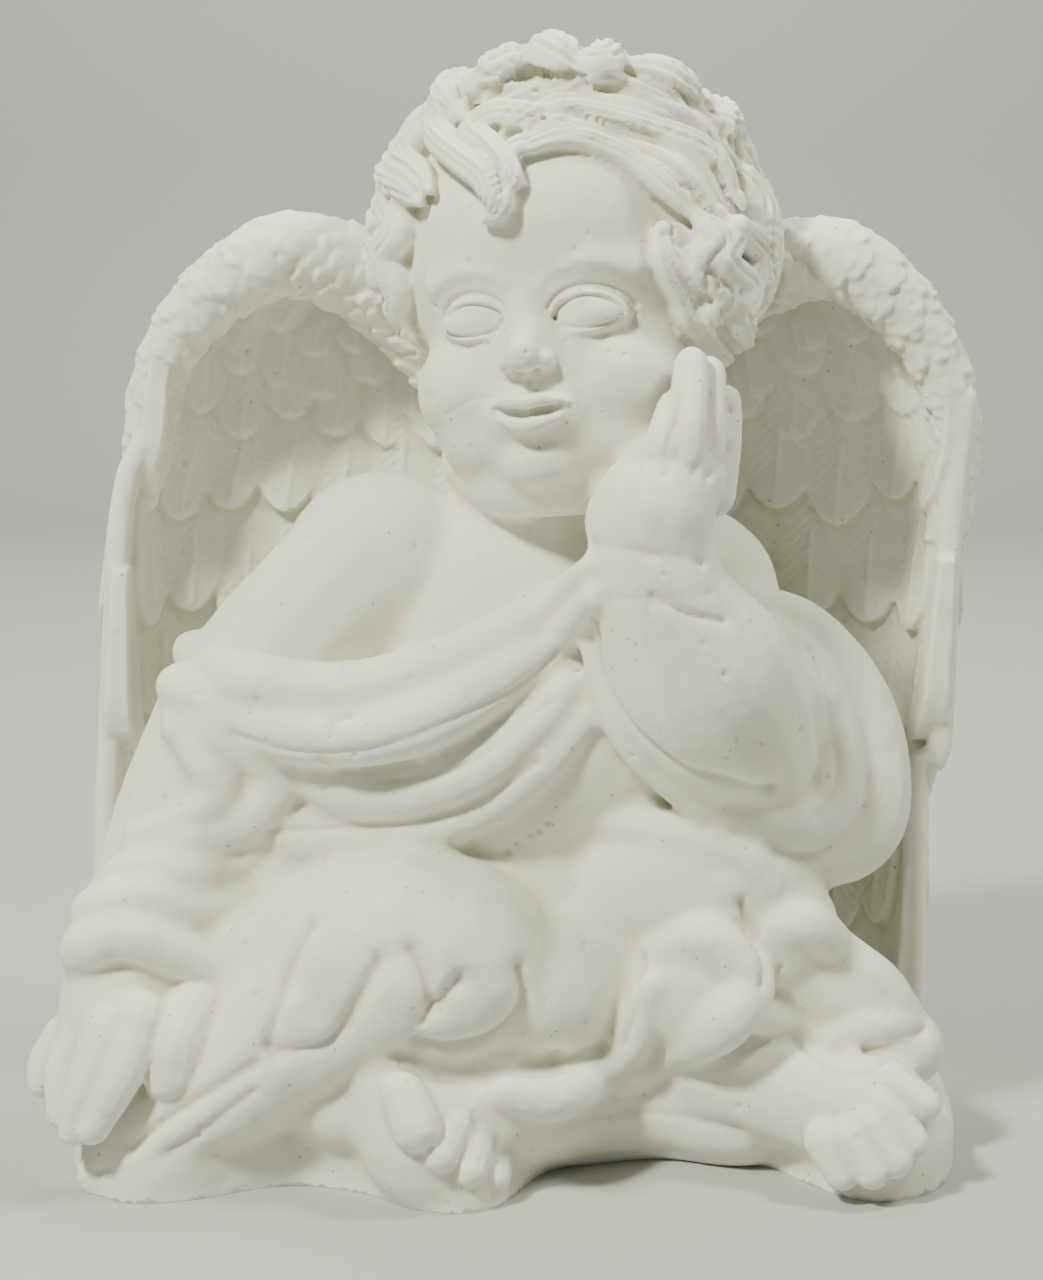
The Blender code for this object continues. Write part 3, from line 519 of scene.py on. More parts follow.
def locks(skin):
    """Every lock of the front and the temples, as rows of (point, radius)."""
    yield from crown(skin)
    for rows in (
        # The forelock and the curl inside it.
        [((8, 233), 2, 4), ((-4, 235), 3, 4.5), ((-13, 232), 4, 4.5), ((-16, 225), 4, 4),
         ((-11, 219), 4, 4), ((-6, 215), 4, 4), ((-4, 210), 3, 3.6), ((-7, 207), 2, 2.6)],
        [((15, 224), 2, 3), ((5, 227), 3, 4), ((-4, 228), 4, 4), ((-9, 225), 4, 3.4), ((-5, 220), 4, 3.4),
         ((-2, 215), 3, 3.2), ((-5, 212), 3, 2.6)],
        # Curls at the left temple.
        [((-16, 235), 3, 4), ((-23, 234), 4, 5), ((-29, 230), 3, 5), ((-31, 222), 3, 5),
         ((-27, 217), 4, 4.6), ((-22, 214), 4, 4), ((-20, 211), 3, 3)],
        [((-19, 230), 3, 3.5), ((-24, 227), 4, 4), ((-25, 221), 4, 4), ((-20, 217), 4, 3.4),
         ((-18, 213), 3, 2.6)],
        [((-29, 217), 3, 4.5), ((-32, 210), 3, 4.5), ((-35, 204), 3, 4.5), ((-34, 198), 4, 4.5),
         ((-30, 194), 3, 4), ((-30, 189), 2, 3)],
        [((-27, 213), 3, 4), ((-25, 206), 3, 4.2), ((-28, 201), 4, 4.2), ((-26, 194), 3, 4),
         ((-27, 188), 3, 3.4), ((-24, 183), 2, 2.6)],
        # Curls round the right temple and ear.
        [((29, 205), 3, 3), ((30, 199), 3, 3.6), ((34, 192), 3, 4), ((37, 186), 3, 4), ((43, 180), 3, 3.6),
         ((45, 176), 2, 2.8)],
        [((44, 206), 4, 4), ((50, 202), 4, 4.4), ((48, 196), 4, 4.4), ((45, 191), 4, 4.2),
         ((49, 185), 3, 4), ((46, 180), 2, 3.4)],
        [((51, 212), 3, 4), ((55, 206), 3, 4.5), ((54, 198), 3, 4.5), ((50, 193), 3, 4), ((52, 186), 2, 4),
         ((50, 181), 1, 3.4)],
    ):
        yield skin.dropped(rows)


# Short tufts over the top of the head: azimuth, height and size of each
TUFTS = [(-52, 52, 6), (-24, 62, 5.6), (8, 66, 6.4), (36, 58, 5.8), (64, 48, 6), (88, 36, 5.6),
         (-80, 40, 5.6)]


def tufts():
    """Short locks that stand up out of the crown's outline."""
    for azimuth, height, size in TUFTS:
        bend = 9 if size > 5.9 else -9
        yield [(scalp(azimuth - 12, height + 14, 1), size * 0.8),
               (scalp(azimuth - 3, height + bend / 3, 4), size),
               (scalp(azimuth + 8, height - bend / 2, 4), size * 0.9),
               (scalp(azimuth + 20, height - bend, 1), size * 0.5)]


def back_locks():
    """The locks behind the ears and down the back of the head."""
    for rows in (
        [(82, 26, 1, 5), (92, 10, 3, 5.5), (88, -4, 3, 5.5), (94, -16, 2, 5), (88, -30, 1, 4)],
        [(96, 36, 1, 5), (106, 18, 2, 6), (102, 0, 3, 6), (108, -16, 2, 5.5), (102, -32, 1, 4)],
        [(-76, 30, 1, 5), (-86, 14, 2, 5.5), (-82, 0, 2, 5), (-90, -14, 2, 5), (-84, -28, 1, 4)],
        [(-92, 46, 1, 5), (-102, 28, 2, 6), (-98, 10, 3, 6), (-104, -6, 2, 5), (-100, -24, 1, 4)],
        [(40, 76, 0, 5), (85, 60, 1, 6), (102, 44, 2, 6), (104, 26, 2, 6), (112, 8, 2, 5)],
    ):
        yield [(scalp(*row[:3]), row[3]) for row in rows]
    for lane in range(9):
        rows = []
        for step in range(7):
            wave = 4 * (-1) ** step
            place = scalp(122 + lane * 14.5 + wave, 70 - 17 * step, 2 + lane % 2)
            rows.append((place, 6.5 if step < 6 else 4))
        yield rows


def tapered(rows):
    """A lock that starts and ends thinner than it is drawn."""
    (start, first), *middle, (end, last) = rows
    return [(start, first * 0.7), *middle, (end, last * 0.45)]


# Half-widths of each wing by level, from the middle of the figure
WING_WIDTH = {
    -1: [(-6, 100), (30, 101), (60, 101), (110, 98), (145, 95), (158, 90), (182, 86), (196, 74),
         (205, 60)],
    1: [(-6, 95), (30, 96), (80, 96), (86, 101), (131, 102), (168, 105), (187, 98), (203, 80)],
}
WING_FRONT, WING_BACK, WING_ROOT = 8, 40, 12
WING_DIP = 36
WALL = 5
# Each row of feathers: level of its tips, length, how many round the wall, thickness
FEATHER_ROWS = [(-8, 62, 6.4, 4.6), (36, 62, 6.4, 4.6), (84, 44, 6.2, 4.6), (112, 42, 6.2, 4.6),
                (139, 40, 6.4, 4.4), (160, 30, 7, 3.8), (170, 26, 7.5, 3.4), (180, 18, 8, 3.2)]


def width_at(side, level):
    """A wing's half-width at a level, between the levels that are drawn."""
    rows = WING_WIDTH[side]
    for (low, a), (high, b) in zip(rows, rows[1:]):
        if level <= high:
            return a + (b - a) * max(level - low, 0) / (high - low)
    return rows[-1][1]


def cup_shares():
    """A square-shouldered quarter oval from the middle of the back to the front rim, by its length."""
    squareness = 2.8
    angles = [number / 60 * math.pi / 2 for number in range(61)]
    power = 2 / squareness
    points = [Vector((math.sin(angle) ** power, math.cos(angle) ** power)) for angle in angles]
    lengths = [0.0]
    for a, b in zip(points, points[1:]):
        lengths.append(lengths[-1] + math.hypot((b.x - a.x) * 86, (b.y - a.y) * (WING_BACK - WING_FRONT)))
    return [length / lengths[-1] for length in lengths], points


CUP_REACH, CUP_POINTS = cup_shares()


def wall_point(side, turn, level, inward=0.0):
    """A point of a wing's wall: turn runs from the back, 0, round to the front rim, 1."""
    number = min(bisect(CUP_REACH, max(turn, 0)), len(CUP_REACH) - 1)
    low, high = CUP_REACH[number - 1], CUP_REACH[number]
    share = CUP_POINTS[number - 1].lerp(CUP_POINTS[number], (min(max(turn, 0), 1) - low) / (high - low))
    across = (width_at(side, level) - WING_ROOT - inward) * share.x
    back = (WING_BACK - WING_FRONT - inward) * share.y - 100 * max(turn - 1, 0)
    dip = WING_DIP * (level / DRAWN_HEIGHT) ** 3 * (1 - min(max(turn, 0) / 0.35, 1)) ** 2
    return Vector((side * (WING_ROOT + across + 60 * min(turn, 0)), WING_FRONT + back, level - dip))


def wall(pile, side):
    """A plain cupped wall."""
    turns = [-0.25 + 1.25 * number / 20 for number in range(21)]
    levels = [level for level, width in WING_WIDTH[side]]
    outer, inner = [[[wall_point(side, turn, level, inward) for turn in turns] for level in levels]
                    for inward in (0, WALL)]
    pile.sheet(outer, inner)


def feather(pile, wall_at, width, length, thick):
    """A feather on the wall, round at its low tip, where it is thickest, and crowned across."""
    tops, bottoms = [], []
    round_share = width * 0.75 / length
    for share in (0, 0.02, 0.06, 0.12, 0.2, 0.3, 0.5, 0.75, 1):
        reach = math.sqrt(max(1 - max(1 - share / round_share, 0) ** 2, 0.004))
        top, bottom = [], []
        for lane in (-1, -0.93, -0.6, -0.2, 0, 0.2, 0.6, 0.93, 1):
            spot, out = wall_at(lane * reach * width / 2, share * length)
            top.append(spot + out * thick * (1 - 0.85 * share) * (1 - 0.35 * (lane * reach) ** 2))
            bottom.append(spot - out * 0.7 * WALL)
        tops.append(top)
        bottoms.append(bottom)
    pile.sheet(tops, bottoms)


def plumage(side):
    """Every feather of a wing, on both faces of its wall: its wall, width, length and thickness."""
    for number, (tip, length, count, thick) in enumerate(FEATHER_ROWS):
        for column in range(int(count) + 1):
            turn = 0.04 + (column + 0.5 * (number % 2)) / count * 0.96
            if turn > 1:
                continue
            level = tip + 3 * math.sin(column * 2.4 + number * 1.7 + side) + 8 * (turn - 0.5)
            girth = width_at(side, level) - WING_ROOT + WING_BACK - WING_FRONT - 12
            width = girth / count * 1.1

            def inner_face(aside, rise, inward=WALL, facing=1):
                here = turn + aside * facing * side / girth
                spot = wall_point(side, here, level + rise, inward)
                ahead = wall_point(side, here + 0.01, level + rise, inward)
                behind = wall_point(side, here - 0.01, level + rise, inward)
                return spot, (ahead - behind).cross(Vector((0, 0, 1))).normalized() * side * facing

            def outer_face(aside, rise):
                return inner_face(aside, rise, 0, -1)

            yield inner_face, width, length, thick
            if turn < 0.93:
                yield outer_face, width, length, thick * 0.8


# The thick leading edge of each wing
RIDGES = {
    -1: [((-12, 28, 172), 10), ((-34, 20, 194), 10), ((-52, 14, 201), 9.2), ((-64, 10, 197), 8),
         ((-75, 10, 188), 6.8), ((-83, 12, 176), 5.6), ((-87, 14, 162), 5), ((-89, 14, 145), 4)],
    1: [((32, 30, 172), 10), ((52, 22, 195), 10), ((72, 14, 200), 8.6), ((85, 12, 192), 7.6),
        ((94, 12, 181), 6.4), ((100, 12, 167), 5.4), ((101, 12, 150), 4.6), ((99, 12, 131), 4)],
}


def rim(carving, side):
    """The wall's thick front edge."""
    levels = [level for level, width in WING_WIDTH[side] if level < 180]
    carving.rope([(wall_point(side, 1, level, WALL / 2), 3) for level in levels])


def wings(carving):
    """Both wings: the wall, its rim and feathers, and the leading edge."""
    for side, rows in RIDGES.items():
        wall(carving, side)
        rim(carving, side)
        for made in plumage(side):
            feather(carving, *made)
        carving.rope(rows)


def coverts(carving, rows):
    """Small overlapping feathers over the leading edge, their tips outwards."""
    path = smooth_path([(*point, radius) for point, radius in rows], 6)
    for number, (before, row, after) in enumerate(zip(path, path[1:], path[2:])):
        along = (after.xyz - before.xyz).normalized()
        front = (Vector((0, -1, 0)) + along * along.y).normalized()
        aside = along.cross(front)
        length = 8 + 1.5 * math.sin(2.3 * number)
        for lane in range(6):
            start = math.radians(lane * 38 - 96 + 19 * (number % 2) + 9 * math.sin(3.1 * lane + number))

            def on_ridge(across, rise):
                angle = start + across / row.w
                out = front * math.cos(angle) + aside * math.sin(angle)
                return row.xyz + out * row.w - along * rise, out

            thick = 1.3 + 0.4 * math.sin(5.3 * lane + 1.7 * number)
            feather(carving, on_ridge, min(0.72 * row.w, 5.5), length, thick)


# Small curls round the temples and in front of the ears, with each one's size
CURLS = [((33, 203), 3), ((37, 192), 3), ((41, 182), 2.8), ((49, 180), 3), ((54, 188), 3.2),
         ((-31, 199), 3.2), ((-28, 192), 2.8), ((-34, 207), 3.2), ((-28, 185), 2.4), ((-24, 211), 2.8)]

# Short waves that fill the hair in front of the right ear
WAVES = (
    [((38, 208), 3, 3.4), ((40, 203), 4, 4.2), ((37, 198), 4.5, 4.4), ((41, 193), 4.5, 4.4),
     ((39, 188), 4, 4), ((43, 183), 3, 3.2)],
    [((44, 204), 4, 3.6), ((41, 199), 5, 4.2), ((46, 194), 5.5, 4.4), ((43, 189), 5, 4.2),
     ((47, 184), 4, 3.6), ((46, 179), 3, 3)],
    [((52, 208), 3, 3.4), ((50, 202), 4, 4), ((54, 198), 4, 4.2), ((51, 192), 4, 4), ((53, 187), 3, 3.2)],
)


def curls(skin):
    """Each small curl winds in towards its own middle."""
    for number, (place, size) in enumerate(CURLS):
        middle, out = skin.near(skin.drop(*place))
        aside = out.cross(Vector((0, 0, 1))).normalized()
        rows = []
        for step in range(9):
            angle = math.radians(48 * step + 70 * number)
            reach = size * (1.05 - 0.11 * step)
            spot = middle + (aside * math.cos(angle) + aside.cross(out) * math.sin(angle)) * reach
            rows.append((spot + out * (2.4 + 0.3 * step), size * (0.6 - 0.03 * step)))
        yield rows


def waves(skin):
    """The short waves, as rows of (point, radius)."""
    for rows in WAVES:
        yield skin.dropped(rows)


def partings(relief, sweep):
    """Deep grooves between the neighbouring locks of the crown."""
    for one, other in zip(sweep, sweep[1:]):
        between = [spot.lerp(beside, 0.5) for (spot, radius), (beside, width) in zip(one, other)]
        path = smooth_path(between, 6)
        relief.stroke([relief.skin.near(spot)[0] for spot in path], 1.3, -1.1)


# Creases over the near knee, by the far knee and at the plinth's corner, with width and depth
CREASES = (
    ([(-45, 60), (-49, 52), (-52, 43), (-54, 34)], 1.5, 2.2),
    ([(-30, 54), (-34, 46), (-40, 36), (-53, 33)], 1.7, 2.6),
    ([(-23, 56), (-20, 50), (-18, 44), (-15, 47), (-12, 50)], 2, 2.6),
    ([(-18, 44), (-21, 40)], 1.4, 1.8),
    ([(0, 50), (1, 43), (-5, 36), (-14, 34), (-23, 36)], 1.6, 2.4),
    ([(-26, 32), (-17, 28), (-7, 27), (8, 28)], 1.6, 2.2),
    ([(26, 49), (24, 40), (22, 30)], 1.3, 1.8),
    ([(48, 61), (51, 53), (52, 45)], 1.3, 2),
    ([(-83, 12), (-73, 20), (-56, 31)], 1.3, 1.8),
    ([(-91, 5), (-73, 12), (-56, 25)], 1.2, 1.2),
    ([(8, 13), (26, 13), (48, 11)], 1.2, 0.8),
)
# Cuts round the cuff and the wrist of the raised arm, and the seam along the cowl's edge
CUTS = (
    ([(15, 140), (25, 139), (38, 136)], 0.7, 1.1),
    ([(27, 130), (35, 126), (43, 124)], 0.7, 1.2),
    ([(16, 129), (27, 129), (40, 130)], 0.6, 0.5),
    ([(-63, 97), (-49, 94), (-33, 95), (-16, 101), (-2, 107), (8, 114)], 0.9, 0.9),
    ([(-43, 92), (-28, 87), (-11, 92), (7, 105)], 0.9, 0.9),
    ([(-55, 75), (-40, 76), (-25, 77), (-10, 82), (4, 92)], 0.9, 0.9),
    ([(60, 30), (73, 26), (90, 31)], 0.9, 1.2),
    ([(-37, 102), (-40, 101), (-41, 98)], 0.8, 0.8),
    ([(30, 155), (31, 162), (33, 171)], 0.7, 0.8),
    ([(36, 155), (39, 162), (40, 171)], 0.7, 0.8),
    ([(39, 154), (44, 159), (45, 168)], 0.7, 0.8),
    ([(15, 123), (17, 112), (22, 102), (31, 94), (44, 89), (55, 86)], 1.1, 1.3),
    ([(64, 114), (68, 104), (70, 86), (65, 78)], 1.1, 1),
)
# Scratches on the cheek and the bare shoulder
SCRATCHES = (
    ([(-16, 166), (-11, 169), (-6, 170)], 0.45, 0.35),
    ([(-25, 172), (-21, 170), (-19, 169)], 0.45, 0.3),
    ([(-50, 126), (-41, 117), (-38, 114)], 0.4, 0.25),
)
# Bubbles strung along the cowl's lower fold
BUBBLES = [(-3, 70), (-1, 72), (2, 74), (4, 75), (6, 77)]


def creases(relief):
    """Folds pressed into the cloth, and finer cuts."""
    for places, width, depth in (*CREASES, *CUTS, *SCRATCHES):
        path = smooth_path([relief.skin.drop(*place) for place in places], 6)
        relief.stroke(path, width, -0.55 * depth)
        relief.stroke(path, 2.4 * width, -0.4 * depth)


def bubbles(relief, count=160):
    """Pinholes, a string of them under the cowl and others scattered over the casting."""
    for place in BUBBLES:
        relief.pit(relief.skin.drop(*place), 0.7, 0.8)
    scatter = random.Random(11)
    for number in range(count):
        spot = relief.skin.drop(scatter.uniform(-95, 95), scatter.uniform(6, 235))
        relief.pit(spot, scatter.uniform(0.4, 0.7), scatter.uniform(0.3, 0.7))


def strands(relief, rows, lanes):
    """Fine grooves along a lock, each lane a share of its radius aside from its crest."""
    path = smooth_path([(*point, radius) for point, radius in rows], 5)
    for lane in lanes:
        groove = []
        for before, row, after in zip(path, path[1:], path[2:]):
            out = (row.xyz - HEAD.at(0, 4, 4)).normalized()
            aside = (after.xyz - before.xyz).cross(out).normalized()
            groove.append(relief.skin.near(row.xyz + (out + aside * lane) * row.w)[0])
        relief.stroke(groove, 0.6, -0.8)


def arc(centre, wide, high, start, stop, count=9):
    """Places on an oval in the plane of the face."""
    angles = [math.radians(start + (stop - start) * number / (count - 1)) for number in range(count)]
    return [(centre[0] + wide * math.cos(angle), centre[1] + high * math.sin(angle)) for angle in angles]


def on_face(relief, places):
    """A smooth path over the face through (x, z) places of the head's own frame."""
    ahead = HEAD.axes @ Vector((0, 1, 0))
    return smooth_path([relief.skin.hit(HEAD.at(x, -80, z), ahead)[0] for x, z in places], 4)


def face_lines(relief):
    """Lids, nostrils and the parting of the lips."""
    for side in (-1, 1):
        eye = (side * 13.4, -4.7)
        for places, width, height in (
            (arc(eye, 7.2, 3.7, -5, 185), 0.55, -1.1),
            (arc(eye, 7.2, 3, 182, 358), 0.5, -0.8),
            (arc(eye, 9, 6.4, 15, 165), 0.55, -0.6),
            (arc((eye[0], eye[1] + 4), 11, 7, 35, 160), 1.4, 0.35),
        ):
            relief.stroke(on_face(relief, places), width, height)
        relief.pit(on_face(relief, [(side * 2.2, -16), (side * 2.3, -16)])[0], 0.9, 1.3)
        relief.pit(on_face(relief, [(side * 8.6, -23.8), (side * 8.7, -23.8)])[0], 1.1, 0.6)
    lips = [(-7.4, -23.8), (-3.6, -24.6), (0, -25.1), (3.6, -24.6), (7.4, -23.8)]
    relief.stroke(on_face(relief, lips), 0.9, -1.1)
    relief.stroke(on_face(relief, [(0, -18), (0, -20.6)]), 1.2, -0.45)
    relief.stroke(on_face(relief, [(-4.6, -30.9), (0, -31.6), (4.6, -30.9)]), 1.7, -0.5)


# The feathers that have barbs, those whose barbs are cut deeper, and the step from barb to barb
BARBED_LENGTH = 40
DEEP_LENGTH = 60
BARB_STEP = 2.8


def barbs(relief, wall_at, width, length, thick):
    """A feather's quill, and on the longer ones the slanting grooves on both sides of it."""
    def over(aside, rise):
        spot, out = wall_at(aside, rise)
        return relief.skin.near(spot + out * thick * (1 - 0.85 * rise / length))[0]

    quill = [over(0, length * share) for share in (0.06, 0.2, 0.35, 0.5)]
    relief.stroke(quill, 0.7, 0.45)
    if length < BARBED_LENGTH:
        return
    for number in range(int(0.5 * length / BARB_STEP)):
        foot = 2.5 + BARB_STEP * number
        if wall_at(0, foot)[0].z < DRAWN_RISE + 2:
            continue
        for side in (-1, 1):
            relief.stroke([over(side * width * share, foot + width * (0.2 + 0.9 * (0.4 - share)))
                           for share in (0.06, 0.2, 0.36)], 0.6, -0.28 if length < DEEP_LENGTH else -0.45)


def largest_shell(form):
    """Keeps the largest of a form's separate shells."""
    left = set(form.verts)
    largest = set()
    while left:
        edge = [left.pop()]
        shell = set(edge)
        while edge:
            near = {link.other_vert(vert) for vert in edge for link in vert.link_edges} & left
            left -= near
            shell |= near
            edge = list(near)
        if len(shell) > len(largest):
            largest = shell
    bmesh.ops.delete(form, geom=[vert for vert in form.verts if vert not in largest], context="VERTS")


def cut_underside(mesh):
    """Cuts the figure off flat at the ground and closes it."""
    form = bmesh.new()
    form.from_mesh(mesh)
    largest_shell(form)
    everything = [*form.verts, *form.edges, *form.faces]
    bmesh.ops.bisect_plane(form, geom=everything, dist=1e-6, plane_co=(0, 0, 0), plane_no=(0, 0, -1),
                           clear_outer=True)
    rim = [edge for edge in form.edges if edge.is_boundary]
    bmesh.ops.holes_fill(form, edges=rim)
    for vert in {vert for edge in rim for vert in edge.verts}:
        vert.co.z = 0
    bmesh.ops.triangulate(form, faces=form.faces)
    bmesh.ops.recalc_face_normals(form, faces=form.faces)
    form.to_mesh(mesh)
    form.free()


# Voxels of the soft forms and of the fine skin, in metres
FLESH_VOXEL = 0.0012
FINE_VOXEL = 0.0007
# How far round the nose the face is refined, in drawn units, and how often it is softened
FACE_REACH = 27
FACE_PASSES = 8


def angel():
    """The whole figure as one fine skin, and the crown's waves and every lock and curl of its hair."""
    flesh, cloth, carving = Pile("flesh"), Pile("cloth"), Pile("carving")
    for form in (torso, legs, plinth, resting_arm, head, hair_cap, propping_arm):
        form(flesh)
    body = fuse([flesh.shells()], FLESH_VOXEL, 11)
    skin = Skin(body)
    hanging_sleeve(cloth)
    for rolls in (COLLAR, SLEEVE, LAP):
        for rows in rolls:
            cloth.rope(skin.dropped(rows))
    dressed = fuse([body, cloth.shells()], FLESH_VOXEL, 4)
    for form in (wings, face, propping_hand, resting_hand, toes):
        form(carving)
    for rows in RIDGES.values():
        coverts(carving, rows)
    sweep = list(crown(skin))
    tresses = [*locks(skin), *tufts(), *back_locks()]
    ringlets = [*waves(skin), *curls(skin)]
    for rows in (*tresses, *ringlets):
        carving.rope(tapered(rows))
    return fuse([dressed, carving.shells()], FINE_VOXEL, 1), sweep, tresses, ringlets


def refine_face(mesh):
    """Quarters the skin's faces round the eyes, nose and mouth, and softens them."""
    form = bmesh.new()
    form.from_mesh(mesh)
    middle = in_metres(HEAD.at(0, -34, -10))
    near = [edge for edge in form.edges
            if all((vert.co - middle).length < FACE_REACH * UNIT for vert in edge.verts)]
    bmesh.ops.subdivide_edges(form, edges=near, cuts=1, use_grid_fill=True)
    bmesh.ops.triangulate(form, faces=[face for face in form.faces if len(face.verts) > 4])
    soft = [vert for vert in form.verts if (vert.co - middle).length < FACE_REACH * UNIT]
    for number in range(FACE_PASSES):
        bmesh.ops.smooth_vert(form, verts=soft, factor=0.5,
                              use_axis_x=True, use_axis_y=True, use_axis_z=True)
    form.to_mesh(mesh)
    form.free()


def carve(mesh, sweep, tresses, ringlets):
    """The fine lines that the fused skin is too soft for."""
    refine_face(mesh)
    relief = Relief(mesh)
    creases(relief)
    bubbles(relief)
    face_lines(relief)
    partings(relief, sweep)
    for rows in tresses:
        strands(relief, rows, (-0.9, -0.3, 0.3, 0.9))
    for rows in ringlets:
        strands(relief, rows, (0,))
    for side in RIDGES:
        for made in plumage(side):
            barbs(relief, *made)
    relief.settle()


# The figure is shown as five pieces that meet inside one skin, with the triangles that each may have
HEAD_MIDDLE = Vector((11, -1, 195))
HEAD_REACH = 56
WING_PLANE = 7
WAIST = 60
PIECES = {
    "head": 195000,
    "left_wing": 165000,
    "right_wing": 165000,
    "robe": 165000,
    "knees_and_plinth": 165000,
}


def outside(spots):
    """How far each spot lies outside each piece's share of the skin, in the drawing's units."""
    beyond_head = np.linalg.norm(spots - np.array(HEAD_MIDDLE), axis=1) - HEAD_REACH
    x, y, z = spots.T
    return {
        "head": beyond_head,
        "left_wing": np.maximum.reduce([-beyond_head, WING_PLANE - y, x]),
        "right_wing": np.maximum.reduce([-beyond_head, WING_PLANE - y, -x]),
        "robe": np.maximum.reduce([-beyond_head, y - WING_PLANE, WAIST - z]),
        "knees_and_plinth": np.maximum.reduce([-beyond_head, y - WING_PLANE, z - WAIST]),
    }


def vectors(rows, name):
    """A mesh's points or normals as an array, one in each row."""
    values = np.empty(len(rows) * 3)
    rows.foreach_get(name, values)
    return values.reshape(-1, 3)


def split(mesh):
    """Each piece's share of the skin, as a mesh of its own whose border keeps the skin's points."""
    spots = vectors(mesh.vertices, "co")
    corners = [tuple(face.vertices) for face in mesh.polygons]
    firsts = np.array([face[0] for face in corners])
    shares = outside(spots / UNIT)
    owner = np.argmin(np.array(list(shares.values())), axis=0)[firsts]
    for number, name in enumerate(shares):
        kept = [corners[index] for index in np.flatnonzero(owner == number)]
        others = {corner for index in np.flatnonzero(owner != number) for corner in corners[index]}
        used = sorted({corner for face in kept for corner in face})
        places = dict(zip(used, range(len(used))))
        piece = bpy.data.meshes.new(name)
        piece.from_pydata(spots[used].tolist(), [], [[places[corner] for corner in face] for face in kept])
        inner = [places[corner] for corner in used if corner not in others]
        yield name, piece, inner


def thinned_inside(piece, inner, triangles):
    """The piece with fewer faces and its border untouched."""
    holder = placed("thinned", piece)
    holder.vertex_groups.new(name="inner").add(inner, 1, "REPLACE")
    fewer = holder.modifiers.new("Thin", "DECIMATE")
    fewer.vertex_group = "inner"
    fewer.ratio = min(1, triangles / sum(face.loop_total - 2 for face in piece.polygons))
    return as_shown(holder)


# How often the skin is averaged before it is compared with itself for its creases, whose depth sets the
# plaster's painted shade and painted highlight
PAINTED_LIGHT_SMOOTHING_PASSES = 12


def crease_depths_for_painted_light(mesh):
    """How deep in a crease each point lies, from 0.5 on the flat towards 1 in creases and towards 0 on
    crests, to set the plaster's painted shade and painted highlight.
    """
    spots, normals = vectors(mesh.vertices, "co"), vectors(mesh.vertex_normals, "vector")
    ends = np.empty(len(mesh.edges) * 2, dtype=int)
    mesh.edges.foreach_get("vertices", ends)
    a, b = ends.reshape(-1, 2).T
    links = np.bincount(np.concatenate([a, b]), minlength=len(spots))
    smooth = spots.copy()
    for step in range(PAINTED_LIGHT_SMOOTHING_PASSES):
        total = np.zeros_like(smooth)
        np.add.at(total, a, smooth[b])
        np.add.at(total, b, smooth[a])
        smooth = total / np.maximum(links, 1)[:, None]
    return np.clip(0.5 + ((smooth - spots) * normals).sum(1) / UNIT, 0, 1)


def finish_piece(piece, points, normals, painted_light_crease_depths):
    """Gives each point of a piece the whole skin's normal and crease depth there, so that no border shows;
    the depth sets the plaster's painted shade and painted highlight.
    """
    found = [points.find(vert.co)[1] for vert in piece.vertices]
    piece.shade_smooth()
    piece.normals_split_custom_set_from_vertices([normals[index] for index in found])
    # The crease depth kept here drives the plaster's painted shade and painted highlight
    store = piece.attributes.new("crease_depth_for_painted_light", "FLOAT", "POINT")
    store.data.foreach_set("value", painted_light_crease_depths[found])


